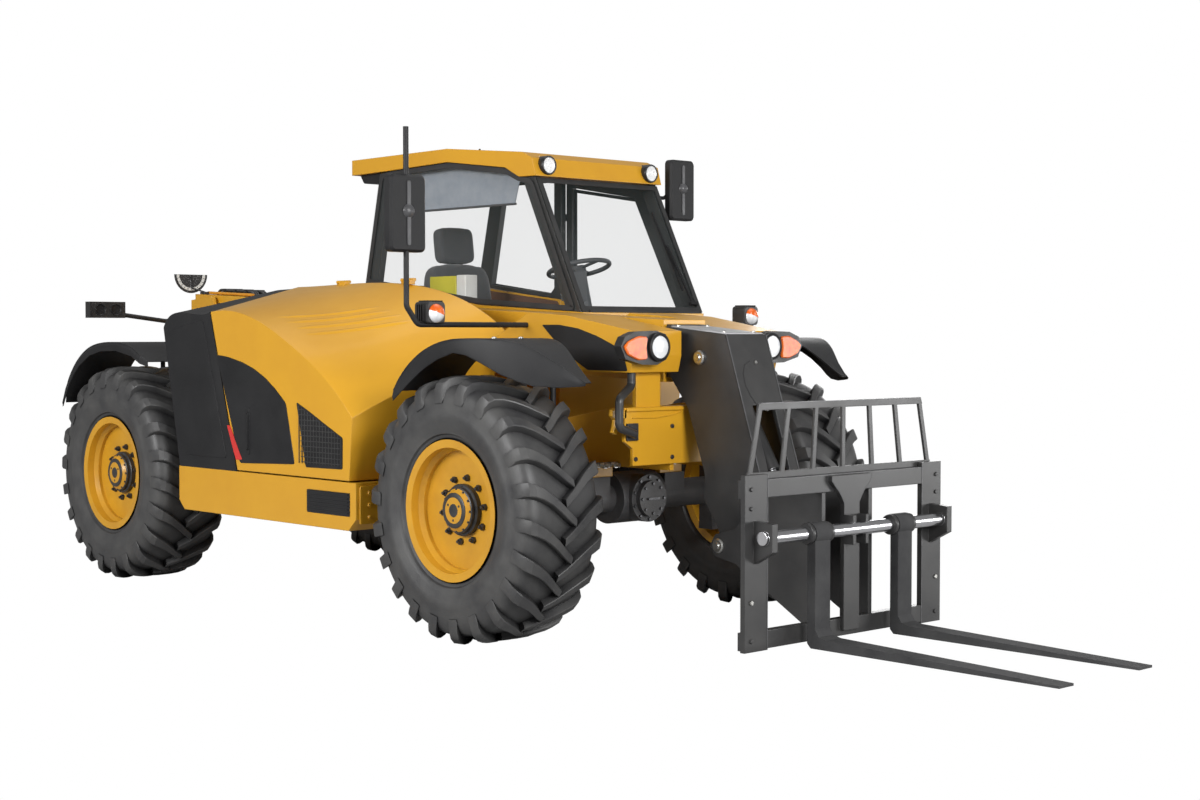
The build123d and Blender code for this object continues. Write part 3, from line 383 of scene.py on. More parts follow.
# Engine hood: a black moulded side panel with a red corner stripe, and a dark frame round the
# window to the engine bay, all clipped to the hood's right side.
SIDE_Y = -1.12
PANEL_DEEP = (-0.002, 0.0035)
PANEL_CORNERS = [(-1.447, 1.327), (-1.395, 1.325), (-1.300, 1.312), (-1.190, 1.290), (-1.080, 1.258),
                 (-0.975, 1.213), (-0.880, 1.158), (-0.779, 1.085), (-0.700, 0.772), (-1.220, 0.752)]
WINDOW_CORNERS = [(-0.680, 1.092), (-0.560, 1.045), (-0.420, 0.985), (-0.274, 0.925), (-0.276, 0.768),
                  (-0.598, 0.762)]
STRIPE_CORNERS = [(-1.345, 0.950), (-1.318, 0.950), (-1.196, 0.772), (-1.258, 0.768)]


def bend(before, here, after, radius, steps, share):
    """The points of a soft bend at here, which takes at most a share of the runs on both sides."""
    before, here, after = Vector(before), Vector(here), Vector(after)
    a, b = before - here, after - here
    reach = min(radius, a.length * share, b.length * share)
    p, q = here + a.normalized() * reach, here + b.normalized() * reach
    return [p * (1 - t) ** 2 + here * 2 * t * (1 - t) + q * t ** 2 for t in [k / steps for k in range(steps + 1)]]


def eased(corners, radius, steps=4):
    """An outline with its corners rounded."""
    points = []
    for i, here in enumerate(corners):
        points += bend(corners[i - 1], here, corners[(i + 1) % len(corners)], radius, steps, 0.45)
    return [tuple(p) for p in points]


def slab(outline, low, high, put, edge=0.0):
    """A flat piece over an outline between two depths, its outer rim chamfered by edge; put places (u, v, depth)."""
    count = len(outline)
    middle = Vector((sum(p[0] for p in outline) / count, sum(p[1] for p in outline) / count))
    levels = [(low, 0.0), (high - edge, 0.0), (high, edge)] if edge else [(low, 0.0), (high, 0.0)]
    verts = []
    for depth, inward in levels:
        for p in outline:
            away = Vector(p) - middle
            u, v = Vector(p) - away.normalized() * inward
            verts.append(put(u, v, depth))
    return verts, rings(len(levels), count)


def on_flank(y, way):
    """Places a flat piece (x, z, depth) on a face at y that looks left (1) or right (-1)."""
    return lambda u, v, depth: (u, y + way * depth, v)


on_right_side = on_flank(SIDE_Y, -1)
gloss_black = finish("gloss_black", (0.010, 0.010, 0.011), (0.018, 0.018, 0.019), 4, (0.30, 0.42), 0.12, 1200,
                     shine=0.35)
signal_red = finish("signal_red", (0.65, 0.035, 0.03), (0.5, 0.03, 0.025), 12, (0.25, 0.35), 0.05, 300, coat=0.3)
fit("hood_side_panel", slab(eased(PANEL_CORNERS, 0.018), *PANEL_DEEP, on_right_side, 0.0015), gloss_black, "hood")
fit("hood_red_stripe", slab(STRIPE_CORNERS, 0.0, 0.0045, on_right_side), signal_red, "hood")
fit("hood_window_frame", slab(eased(WINDOW_CORNERS, 0.012), *PANEL_DEEP, on_right_side, 0.0015), gloss_black,
    "hood")


# Hood window mesh: a grid of flat steel bars over the window frame, welded where they cross.
# It lets the engine breathe and follows the window's sloping top.
def rectangle(u0, v0, u1, v1, rounding=0.0):
    """The outline of a rectangle, with its corners rounded if asked."""
    corners = [(u0, v0), (u1, v0), (u1, v1), (u0, v1)]
    return eased(corners, rounding) if rounding else corners


BAR_STEP, BAR_HALF = 0.0265, 0.002
MESH_BACK, MESH_FRONT = -0.655, -0.292
MESH_TOP, MESH_FOOT, MESH_SLOPE = 1.075, 0.782, 0.402
mesh_bars = []
for i in range(15):
    x = MESH_BACK + i * BAR_STEP
    top = MESH_TOP - (x - MESH_BACK) * MESH_SLOPE
    mesh_bars.append(slab(rectangle(x - BAR_HALF, MESH_FOOT, x + BAR_HALF, top), 0.003, 0.006, on_right_side))
for i in range(11):
    z = MESH_FOOT + 0.008 + i * BAR_STEP
    back = MESH_BACK + 0.02 * (1.0 - (z - 0.79) / 0.3)
    front = min(MESH_FRONT, MESH_BACK + (MESH_TOP - z) / MESH_SLOPE)
    mesh_bars.append(slab(rectangle(back, z - BAR_HALF, front, z + BAR_HALF), 0.0035, 0.0065, on_right_side))
fit("hood_window_mesh", gather(mesh_bars), black_enamel, "hood", 0)

# Hood latch: a slim vertical pull on its back plate, pressed from black plastic and screwed to
# the side panel.
x, low, high = -1.141, 0.800, 1.050
latch = [slab(rectangle(x - 0.020, low, x + 0.020, high, 0.015), 0.0, 0.006, on_right_side, 0.002),
         slab(rectangle(x - 0.010, low + 0.025, x + 0.010, high - 0.025, 0.009), 0.004, 0.015, on_right_side, 0.003)]
fit("hood_latch", gather(latch), black_moulding, "hood")

# Rear cowl: a shallow raised field on the black corner moulding, moulded in one with it to
# stiffen the side.
COWL_PANEL = [(-1.935, 1.462), (-1.590, 1.520), (-1.355, 0.770), (-1.755, 0.772)]
fit("rear_cowl_panel", slab(eased(COWL_PANEL, 0.03), -0.002, 0.004, on_right_side, 0.002), black_moulding,
    "chassis")

# Sill grille: a dark plastic air grille with six level slats, pressed into the side of the
# yellow sill box.
x0, x1, z0, z1 = -0.591, -0.216, 0.536, 0.652
SLAT_IN, SLAT_STEP, SLAT_HIGH = 0.012, 0.0185, 0.006
slats = [slab(rectangle(x0, z0, x1, z1, 0.01), -0.003, 0.002, on_right_side)]
for i in range(6):
    z = z0 + SLAT_IN + i * SLAT_STEP
    slats.append(slab(rectangle(x0 + SLAT_IN, z, x1 - SLAT_IN, z + SLAT_HIGH), 0.001, 0.006, on_right_side))
fit("sill_grille", gather(slats), gloss_black, "chassis")


# Sill bracket: a small yellow steel plate on the sill's front end, held there by a row of
# three bolts.
def on_end(x, way=1, s=1):
    """Places a flat piece (y, z, depth) on a face at x that looks forward (1) or back (-1).

    It is mirrored left to right when s is -1."""
    return lambda u, v, depth: (x + way * depth, s * u, v)


def bolts_at(put, places, r=0.011, high=0.009, depth=0.0):
    """Hexagon heads on a face that put describes."""
    heads = []
    for u, v in places:
        verts, faces = hexagon((u, v), depth, r, high, 0.3)
        heads.append(([put(x, z, y) for x, y, z in verts], faces))
    return heads


SILL_FRONT, BRACKET_THICK = -0.165, 0.008
on_sill_front = on_end(SILL_FRONT)
bracket = [slab(rectangle(-1.10, 0.50, -0.99, 0.690, 0.012), -0.001, BRACKET_THICK, on_sill_front, 0.002)]
bracket += bolts_at(on_sill_front, [(-1.045, z) for z in (0.535, 0.595, 0.655)], depth=BRACKET_THICK)
fit("sill_bracket", gather(bracket), yellow_enamel, "chassis")


# Hood louvres: four long shallow ribs pressed slantwise into the hood's upper side. They stiffen
# the sheet and lead the hot air off.
def drape(node, x, y):
    """The point on a CAD node's upper side above a place in plan."""
    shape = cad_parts[node]
    to_local = shape.matrix_world.inverted()
    start = to_local @ Vector((x, y, 3.0))
    down = (to_local @ Vector((x, y, 2.0)) - start).normalized()
    hit, place, _, _ = shape.ray_cast(start, down)
    return (shape.matrix_world @ place).z if hit else None


def draped_rib(node, start, end, wide, high, steps=16):
    """A pressed rib that follows a CAD node's upper side from one place in plan to another."""
    rows = []
    a, b = Vector(start), Vector(end)
    side = (b - a).normalized().orthogonal()
    for i in range(steps + 1):
        t = i / steps
        grow = min(1.0, 6 * t, 6 * (1 - t))
        row = []
        for w, h in ((-0.5, -0.001), (-0.3, high * 0.75), (0.0, high), (0.3, high * 0.75), (0.5, -0.001)):
            p = a + (b - a) * t + side * wide * w
            z = drape(node, p.x, p.y)
            if z is None:
                break
            row.append((p.x, p.y, z + (h * grow if h > 0 else h)))
        if len(row) == 5:
            rows.append(row)
    verts = [p for row in rows for p in row]
    faces = [(i * 5 + k, i * 5 + k + 1, i * 5 + k + 6, i * 5 + k + 5) for i in range(len(rows) - 1) for k in range(4)]
    return verts, faces


RIB_STEP = 0.09
louvres = [draped_rib("hood", (-1.02 + i * RIB_STEP, -1.010), (-0.62 + i * RIB_STEP, -0.640), 0.030, 0.007)
           for i in range(4)]
fit("hood_louvres", gather(louvres), yellow_enamel, "hood", 50)

# Nose fairing: a blank field of black film on each flank of the fairing, where the cowl drops
# to the headlamp.
SIDES = (("right", -1), ("left", 1))
FAIRING_Y = 0.500
FIELD_CORNERS = [(0.520, 1.486), (0.640, 1.486), (0.780, 1.468), (0.920, 1.430), (1.030, 1.388), (1.095, 1.345),
                 (1.122, 1.268), (0.850, 1.270), (0.700, 1.345), (0.600, 1.420)]
for side, s in SIDES:
    field = slab(eased(FIELD_CORNERS, 0.010), -0.002, 0.003, on_flank(s * FAIRING_Y, s), 0.0015)
    fit(f"fairing_field_{side}", field, gloss_black, "chassis")


# Headlamps: a bright stepped bowl behind a pale moulded lens in a black ring, with an amber
# turn lens outboard. Each is let into the fairing's front.
def lathe_x(profile, turns, place):
    """A profile of (radius, depth) turned about a line along X, from a place."""
    x, y, z = place
    verts, faces = lathe(profile, turns)
    return [(x + b, y + a, z + c) for a, b, c in verts], faces


bright_reflector = finish("bright_reflector", (0.96, 0.96, 0.96), (0.78, 0.79, 0.80), 40, (0.15, 0.3), 0.35, 90,
                          metal=0.12)


def coloured_lens(name, colour, deep):
    """A moulded lamp lens: tinted plastic with pressed ribs, drifting between a colour and a darker shade."""
    made = finish(name, colour, deep, 30, (0.08, 0.2), 0.0, coat=0.6)
    tree = made.node_tree
    place = add_node(tree, "TexCoord")
    waves = add_node(tree, "TexWave", {"Vector": place.outputs["Object"], "Scale": 60, "Distortion": 0.6},
                     bands_direction="Z")
    bump = add_node(tree, "Bump", {"Strength": 0.35, "Distance": 0.002, "Height": waves.outputs["Fac"]})
    fill(tree, tree.nodes["Principled BSDF"], {"Normal": bump.outputs["Normal"]})
    return made


amber_lens = coloured_lens("amber_lens", (0.85, 0.17, 0.008), (0.60, 0.07, 0.006))
white_lens = coloured_lens("white_lens", (0.85, 0.85, 0.85), (0.6, 0.62, 0.65))
red_lens = coloured_lens("red_lens", (0.55, 0.01, 0.01), (0.3, 0.005, 0.005))
LAMP_FACE = 1.221
BULB_Y, BULB_Z = 0.390, 1.380
HEAD_BOWL = [(0.0, -0.016), (0.018, -0.014), (0.022, -0.004), (0.030, -0.012), (0.048, -0.004), (0.053, 0.001)]
HEAD_RING = [(0.052, -0.002), (0.052, 0.006), (0.058, 0.008), (0.066, 0.005), (0.068, -0.010), (0.068, -0.020)]
HEAD_LENS = [(0.0, 0.010), (0.020, 0.0095), (0.040, 0.0075), (0.053, 0.004)]
AMBER_CORNERS = [(0.462, 1.428), (0.520, 1.432), (0.584, 1.408), (0.612, 1.384), (0.588, 1.345), (0.520, 1.320),
                 (0.462, 1.324), (0.470, 1.375)]


def round_lamp(name, side, place, turns, bowl, ring, lens, look):
    """A bowl, its ring and its lens, turned about one line."""
    fit(f"{name}_bowl_{side}", lathe_x(bowl, turns, place), bright_reflector, "chassis")
    fit(f"{name}_ring_{side}", lathe_x(ring, turns + 4, place), gloss_black, "chassis")
    fit(f"{name}_lens_{side}", lathe_x(lens, turns, place), look, "chassis")


for side, s in SIDES:
    round_lamp("headlamp", side, (LAMP_FACE, s * BULB_Y, BULB_Z), 36, HEAD_BOWL, HEAD_RING, HEAD_LENS, white_lens)
    turn_lens = slab(eased(AMBER_CORNERS, 0.012), -0.001, 0.012, on_end(LAMP_FACE - 0.012, 1, s), 0.006)
    fit(f"headlamp_turn_lens_{side}", turn_lens, amber_lens, "chassis")

# Work lamps: two round lamps under the roof's front edge, bright bowls behind clear faceted
# lenses in black rings.
clear_lens, tree, shader = see_through("clear_lens", (0.97, 0.98, 1.0), 0.10)
facets = add_node(tree, "TexVoronoi", {"Scale": 70}).outputs["Distance"]
lens_bump = add_node(tree, "Bump", {"Strength": 0.4, "Distance": 0.003, "Height": facets})
lens_rough = add_node(tree, "MapRange", {"Value": facets, "To Min": 0.02, "To Max": 0.12})
fill(tree, shader, {"Roughness": lens_rough.outputs[0], "Normal": lens_bump.outputs["Normal"]})
WORK_BOWL = [(0.0, 0.001), (0.014, 0.004), (0.018, 0.001), (0.040, 0.006), (0.044, 0.010)]
WORK_RING = [(0.043, 0.002), (0.043, 0.014), (0.050, 0.014), (0.0525, 0.010), (0.0525, -0.01)]
WORK_LENS = [(0.0, 0.016), (0.030, 0.0145), (0.044, 0.011)]
ROOF_FACE, ROOF_LAMP_Z = -0.300, 2.360
for side, y in (("right", 0.260), ("left", 1.040)):
    round_lamp("roof_lamp", side, (ROOF_FACE, y, ROOF_LAMP_Z), 32, WORK_BOWL, WORK_RING, WORK_LENS, clear_lens)

# Roof duct: a black moulded air duct as wide as the cab, screwed on under the roof's rear
# end.
DUCT_END, DUCT_LONG = 0.205, 0.860
duct = slab(eased([(-1.985, 2.428), (-1.775, 2.432), (-1.745, 2.345), (-1.930, 2.352)], 0.015), 0.0, DUCT_LONG,
            on_flank(DUCT_END, 1), 0.004)
fit("roof_rear_duct", duct, black_moulding, "chassis")

# Side lamps: on arms over the front wheels, a round lens in front of a finned black shell. It
# is amber above and white below, domed and clipped in.
lamp_black = finish("lamp_black", (0.012, 0.012, 0.013), (0.025, 0.024, 0.023), 14, (0.3, 0.5), 0.2, 700)
wear(lamp_black, "lamps")
DOME = [(0.000, 0.030), (0.018, 0.028), (0.032, 0.021), (0.041, 0.010), (0.0445, 0.000)]
LENS_TURN = -0.35
SHELL_BACK, SHELL_FRONT, SHELL_SIDE, FIN = 0.352, 0.444, 1.146, 0.004


def half_dome(x, y, z, start, steps=14):
    """Half of a domed lens on a face that looks forward at x, closed behind."""
    verts, faces, rows = [(x + DOME[0][1], y, z)], [], len(DOME) - 1
    for i in range(steps + 1):
        a = start + pi * i / steps
        verts += [(x + out, y + r * cos(a), z + r * sin(a)) for r, out in DOME[1:]]
    for i in range(steps):
        a, b = 1 + i * rows, 1 + (i + 1) * rows
        faces.append((0, a, b))
        faces += [(a + k, a + k + 1, b + k + 1, b + k) for k in range(rows - 1)]
    back = [0] + [1 + k for k in range(rows)] + [1 + steps * rows + k for k in reversed(range(rows))]
    return verts, faces + [tuple(back)]


for side, s in SIDES:
    ahead, outward = on_end(0.0, 1, s), on_flank(s * SHELL_SIDE, s)
    shell = [slab(rectangle(1.034, 1.490, SHELL_SIDE, 1.592, 0.022), SHELL_BACK, SHELL_FRONT, ahead, 0.006)]
    shell += [slab(rectangle(y, 1.500, y + FIN, 1.598), 0.360, 0.436, ahead)
              for y in (1.046, 1.062, 1.078, 1.094, 1.110, 1.126)]
    shell += [slab(rectangle(x, 1.502, x + FIN, 1.580), -0.001, 0.006, outward) for x in (0.370, 0.386, 0.402, 0.418)]
    fit(f"side_lamp_shell_{side}", gather(shell), lamp_black, "chassis", 20)
    for name, look, start in (("amber", amber_lens, LENS_TURN), ("clear", white_lens, pi + LENS_TURN)):
        fit(f"side_lamp_{name}_{side}", half_dome(SHELL_FRONT, s * 1.090, 1.538, start), look, "chassis", 60)

# Rear lamp boxes: white, red and amber moulded lenses side by side in a black frame at the end
# of each bar, with two round caps on the box's front.
REAR_FACE, BOX_FRONT = -3.225, -3.165
REAR_CAP = [(0.0, 0.0), (0.028, 0.001), (0.034, 0.006), (0.036, 0.0)]
for side, s in SIDES:
    behind = on_end(REAR_FACE, -1, s)
    lamp_frame = slab(rectangle(0.733, 1.543, 0.967, 1.637, 0.014), -0.001, 0.006, behind, 0.002)
    fit(f"rear_lamp_frame_{side}", lamp_frame, gloss_black, "chassis")
    for name, look, inner, outer in (("clear", white_lens, 0.745, 0.800), ("red", red_lens, 0.806, 0.890),
                                     ("amber", amber_lens, 0.896, 0.957)):
        lens = slab(rectangle(inner, 1.556, outer, 1.624, 0.010), 0.004, 0.016, behind, 0.006)
        fit(f"rear_lamp_{name}_{side}", lens, look, "chassis")
    caps = [lathe_x(REAR_CAP, 28, (BOX_FRONT, s * y, 1.59)) for y in (0.795, 0.900)]
    fit(f"rear_lamp_ports_{side}", gather(caps), gloss_black, "chassis")

# Mirrors: silvered glass in the rear of each black shell, with a raised grey spine and a ball
# clamp in front, where the rod holds it.
spine_grey = finish("mirror_spine_grey", (0.085, 0.085, 0.09), (0.05, 0.05, 0.053), 18, (0.28, 0.42), 0.1, 300)
mirror_glass = finish("mirror_glass", (0.88, 0.89, 0.9), (0.84, 0.85, 0.87), 2, (0.01, 0.03), metal=1.0)
RIM, SPINE_HALF, SPINE_SHORT = 0.012, 0.010, 0.03
BALL = [(0.0, 0.022), (0.014, 0.020), (0.025, 0.012), (0.031, 0.003), (0.033, -0.002)]
for side, x_back, x_front, (y0, y1), (z0, z1), rod_y in (
        ("right", 0.375, 0.425, (-1.337, -1.130), (1.820, 2.180), -1.235),
        ("left", -0.320, -0.270, (1.180, 1.380), (2.100, 2.450), 1.280)):
    pane = slab(rectangle(y0 + RIM, z0 + RIM, y1 - RIM, z1 - RIM, 0.02), -0.001, 0.002, on_end(x_back, -1))
    fit(f"mirror_glass_{side}", pane, mirror_glass, "chassis")
    spine = slab(rectangle(rod_y - SPINE_HALF, z0 + SPINE_SHORT, rod_y + SPINE_HALF, z1 - SPINE_SHORT, 0.009),
                 -0.002, 0.005, on_end(x_front), 0.002)
    ball = lathe_x(BALL, 28, (x_front, rod_y, (z0 + z1) / 2 + 0.01))
    fit(f"mirror_clamp_{side}", gather([spine, ball]), spine_grey, "chassis")

# Front guard tube: the bent tube stands on a welded foot, which three dark bolts hold to the
# front of the frame.
GUARD_FOOT_FACE = 1.122
tube_bolts = bolts_at(on_end(GUARD_FOOT_FACE), [(-0.482, 1.005), (-0.482, 0.965), (-0.448, 0.965)], 0.010, 0.008)
fit("guard_tube_bolts", gather(tube_bolts), nut_steel, "chassis")


# Frame front plate: eight dark bolts in two rows, a rolled lip along its top and a stiffening
# rib on its right, in the frame's yellow.
def ribbon(points, wide, low, high, put):
    """A narrow strip along a line."""
    left, right = [], []
    for i, p in enumerate(points):
        a, b = Vector(points[max(i - 1, 0)]), Vector(points[min(i + 1, len(points) - 1)])
        side = (b - a).normalized().orthogonal() * wide / 2
        left.append(tuple(Vector(p) + side))
        right.append(tuple(Vector(p) - side))
    return slab(left + right[::-1], low, high, put)


PLATE_FACE = 1.110
on_plate = on_end(PLATE_FACE)
plate_bolts = bolts_at(on_plate, [(y, z) for y in (-0.440, -0.198, 0.198, 0.440) for z in (1.004, 0.857)])
fit("front_plate_bolts", gather(plate_bolts), nut_steel, "chassis")
LIP_Z = 1.088
RIB = [(-0.46, 1.050), (-0.30, 1.046), (-0.18, 1.060), (-0.12, 1.078)]
lip = [ribbon([(-0.50, LIP_Z), (-0.10, LIP_Z)], 0.016, -0.001, 0.010, on_plate),
       ribbon([(0.10, LIP_Z), (0.50, LIP_Z)], 0.016, -0.001, 0.010, on_plate),
       ribbon(RIB, 0.006, -0.001, 0.004, on_plate)]
fit("front_plate_lip", gather(lip), yellow_enamel, "chassis")

# Tie-down hooks: flame-cut yellow lugs beside the front plate, one each side, welded to the
# frame's end.
HOOK = [(0.495, 1.088), (0.560, 1.098), (0.582, 1.088), (0.586, 1.062), (0.566, 1.045), (0.570, 1.012),
        (0.580, 0.985), (0.560, 0.975), (0.545, 1.000), (0.540, 1.040), (0.495, 1.052)]
HOOK_X, HOOK_HALF = 1.098, 0.012
for side, s in SIDES:
    fit(f"tie_down_hook_{side}", slab(HOOK, -HOOK_HALF, HOOK_HALF, on_end(HOOK_X, 1, s), 0.002), yellow_enamel,
        "chassis")


# Axle details: two rings of bolts on the differential's stepped cover, chromed glands at both
# ends of the steering cylinder, and rubber hoses from it up into the frame.
def tube(points, r, sides=12, radius=0.03, steps=5):
    """A round tube along straight runs with rounded bends."""
    line = [Vector(points[0])]
    for before, here, after in zip(points, points[1:], points[2:]):
        line += bend(before, here, after, radius, steps, 0.48)
    line.append(Vector(points[-1]))
    verts = []
    across = (line[1] - line[0]).orthogonal().normalized()
    for i, p in enumerate(line):
        along = (line[min(i + 1, len(line) - 1)] - line[max(i - 1, 0)]).normalized()
        across = (across - along * across.dot(along)).normalized()
        other = along.cross(across)
        verts += [tuple(p + (across * cos(tau * k / sides) + other * sin(tau * k / sides)) * r) for k in range(sides)]
    return verts, rings(len(line), sides)


for end, x, way in (("front", FRONT_X, 1), ("rear", REAR_X, -1)):
    on_cover, on_tip = on_end(x + way * 0.150, way), on_end(x + way * 0.178, way)
    cover_turns = [tau * (k + 0.5) / 10 for k in range(10)]
    tip_turns = [tau * k / 8 for k in range(8)]
    bolts = bolts_at(on_cover, [(0.105 * cos(a), AXLE_Z + 0.105 * sin(a)) for a in cover_turns], 0.009, 0.008)
    bolts += bolts_at(on_tip, [(0.074 * cos(a), AXLE_Z + 0.074 * sin(a)) for a in tip_turns], 0.008, 0.007)
    web = slab(rectangle(-0.040, AXLE_Z - 0.006, 0.040, AXLE_Z + 0.006, 0.004), -0.001, 0.010, on_tip, 0.002)
    fit(f"axle_cover_bolts_{end}", gather(bolts + [web]), nut_steel, "chassis")
    rod_x, rod_z = x - way * 0.175, AXLE_Z - 0.030
    glands = [lathe([(0.021, y - 0.018), (0.046, y - 0.018), (0.046, y + 0.018), (0.021, y + 0.018)], 28)
              for y in (-0.214, 0.214)]
    fit(f"steer_cylinder_glands_{end}", moved(gather(glands), rod_x, 0.0, rod_z), hard_chrome, "chassis")
    hoses = [tube([(rod_x, s * 0.185, rod_z + 0.035), (rod_x, s * 0.185, rod_z + 0.13),
                   (x - way * 0.09, s * 0.10, 0.86), (x - way * 0.13, s * 0.08, 1.00)], 0.009, 8, 0.05)
             for s in (-1, 1)]
    fit(f"steer_hoses_{end}", gather(hoses), tyre_rubber, "chassis")

# Coupling row: six zinc-plated steel hose couplings, screwed into a rail that runs across the
# frame above the front axle.
RAIL_X, RAIL_Z = 0.700, 0.800
COUPLING = [(0.0, 0.0), (0.012, 0.0), (0.012, 0.022), (0.016, 0.022), (0.016, 0.040), (0.010, 0.040),
            (0.010, 0.062), (0.0, 0.062)]
zinc = finish("zinc", (0.62, 0.62, 0.6), (0.42, 0.41, 0.38), 50, (0.25, 0.42), 0.15, 400, metal=1.0)
row = [lathe_x(COUPLING, 12, (RAIL_X, y, RAIL_Z)) for y in (-0.36, -0.28, -0.21, -0.12, 0.10, 0.20)]
row.append(slab(rectangle(-0.40, RAIL_Z - 0.012, 0.24, RAIL_Z + 0.012), -0.02, 0.004, on_end(RAIL_X)))
fit("coupling_rail", gather(row), zinc, "chassis")

# Boom head: two bolt heads and a milled groove on its sloping face, edges rubbed grey, and
# domed zinc caps that keep its two pins.
NOSE_TOP = Vector((1.404, 0, 1.440))
NOSE_DOWN = Vector((0.215, 0, -0.645)).normalized()
NOSE_OUT = Vector((0.645, 0, 0.215)).normalized()
GROOVE = [(-0.020, 0.132), (-0.060, 0.150), (-0.085, 0.195), (-0.088, 0.250), (-0.072, 0.300), (-0.045, 0.345),
          (-0.018, 0.380)]
PINS = [(1.240, 1.330, 0.150), (1.394, 0.455, 0.180)]
CAP_R, CAP_RIM, CAP_HIGH = 0.034, 0.006, 0.012


def on_nose(u, v, depth):
    """Places a flat piece (across, down, depth) on the head's sloping face."""
    return tuple(NOSE_TOP + NOSE_DOWN * v + NOSE_OUT * depth + Vector((0, u, 0)))


face_bolts = bolts_at(on_nose, [(0.017, 0.140), (0.015, 0.371)], 0.009, 0.007)
fit("head_face_bolts", gather(face_bolts), zinc, "boom_inner")
seam_black = finish("seam_black", (0.012, 0.012, 0.012), (0.02, 0.02, 0.02), 30, (0.6, 0.8), 0.1, 300)
fit("head_groove", ribbon(GROOVE, 0.006, -0.001, 0.0015, on_nose), seam_black, "boom_inner")
edge_grey = finish("edge_grey", (0.13, 0.13, 0.135), (0.07, 0.07, 0.072), 25, (0.3, 0.45), 0.2, 300, metal=0.3)
edges = [ribbon([(y, 0.004), (y, 0.676)], 0.006, -0.003, 0.0025, on_nose) for y in (-0.137, 0.137)]
fit("head_worn_edges", gather(edges), edge_grey, "boom_inner")
caps = []
for x, z, half in PINS:
    cap = lathe([(0.0, half + CAP_HIGH), (0.012, half + CAP_HIGH), (0.016, half + CAP_RIM),
                 (CAP_R - CAP_RIM, half + CAP_RIM), (CAP_R, half), (CAP_R, half - CAP_HIGH)], 28)
    caps += [moved(cap, x, 0.0, z, s) for s in (-1, 1)]
fit("head_pin_caps", gather(caps), zinc, "boom_inner")

# Boom head's lid: a blank pale grey wear plate along the sloping top of the head, held by four
# zinc bolts.
LID_BACK, LID_FRONT, LID_Z, LID_DROP, LID_THICK = 1.009, 1.404, 1.478, 0.038, 0.005
grey_cap = finish("grey_cap", (0.42, 0.42, 0.43), (0.30, 0.30, 0.31), 12, (0.35, 0.5), 0.15, 300, metal=0.4)


def on_lid(u, v, depth):
    """Places a flat piece (x, y, depth) on the head's sloping top."""
    return (u, v, LID_Z - LID_DROP * (u - LID_BACK) / (LID_FRONT - LID_BACK) + depth)


lid_plate = slab(rectangle(1.030, -0.128, 1.396, 0.128, 0.012), -0.002, LID_THICK, on_lid, 0.002)
fit("head_lid_plate", lid_plate, grey_cap, "boom_inner")
lid_bolts = bolts_at(on_lid, [(x, y) for x in (1.060, 1.360) for y in (-0.10, 0.10)], 0.009, 0.007, LID_THICK)
fit("head_lid_bolts", gather(lid_bolts), zinc, "boom_inner")

# Carriage: a welded frame of black plate with bolts down both sides and edges rubbed grey. Its
# round shaft is bare steel, polished by the forks that slide on it.
SHAFT_X, SHAFT_Z, SHAFT_R = 2.085, 0.578, 0.030
CARRIAGE_FACE, BOLT_LINE = 2.025, 0.640


def part_finish(look, mask, colour, second, metal, rough):
    """Turns a finish into another one wherever the mask reads 1."""
    tree = look.node_tree
    shader = tree.nodes["Principled BSDF"]
    cloud = add_node(tree, "TexNoise", {"Scale": 14, "Detail": 5}).outputs["Fac"]
    shade = add_node(tree, "Mix", {"Factor": cloud, "A": (*colour, 1), "B": (*second, 1)}, data_type="RGBA")
    dull = add_node(tree, "MapRange", {"Value": cloud, "To Min": rough[0], "To Max": rough[1]})
    for socket, other, kind in (("Base Color", shade.outputs["Result"], "RGBA"),
                                ("Roughness", dull.outputs[0], "FLOAT")):
        before = shader.inputs[socket].links[0].from_socket
        change = add_node(tree, "Mix", {"Factor": mask, "A": before, "B": other}, data_type=kind)
        fill(tree, shader, {socket: change.outputs["Result"]})
    if metal:
        fill(tree, shader, {"Metallic": mask})


carriage_enamel = black_enamel.copy()
carriage_enamel.name = "carriage_enamel"
tree = carriage_enamel.node_tree
apart = add_node(tree, "SeparateXYZ", {0: add_node(tree, "TexCoord").outputs["Object"]})
level = add_node(tree, "CombineXYZ", {"X": apart.outputs["X"], "Z": apart.outputs["Z"]})
from_axis = add_node(tree, "VectorMath", {0: level.outputs[0], 1: (SHAFT_X, 0.0, SHAFT_Z)}, operation="DISTANCE")
near = add_node(tree, "Math", {0: from_axis.outputs["Value"], 1: SHAFT_R + 0.0006}, operation="LESS_THAN")
part_finish(carriage_enamel, near.outputs[0], (0.72, 0.72, 0.74), (0.58, 0.58, 0.60), True, (0.12, 0.26))
wear(carriage_enamel, "carriage")
on_carriage = on_end(CARRIAGE_FACE)
side_bolts = bolts_at(on_carriage, [(s * BOLT_LINE, z) for s in (-1, 1) for z in (0.135, 0.70, 0.782)], 0.010, 0.007)
fit("carriage_bolts", gather(side_bolts), black_enamel, "carriage")
stop_bolts = bolts_at(on_carriage, [(s * BOLT_LINE, 0.30) for s in (-1, 1)], 0.011, 0.008)
fit("carriage_stop_bolts", gather(stop_bolts), zinc, "carriage")
rubbed = [slab(rectangle(0.5352, 0.090, 0.5385, 0.841), -0.02, 0.0016, on_end(CARRIAGE_FACE, 1, s)) for s in (-1, 1)]
rubbed.append(slab(rectangle(-0.530, 0.8185, 0.530, 0.8205), -0.03, 0.0012, on_carriage))
fit("carriage_worn_edges", gather(rubbed), edge_grey, "carriage")

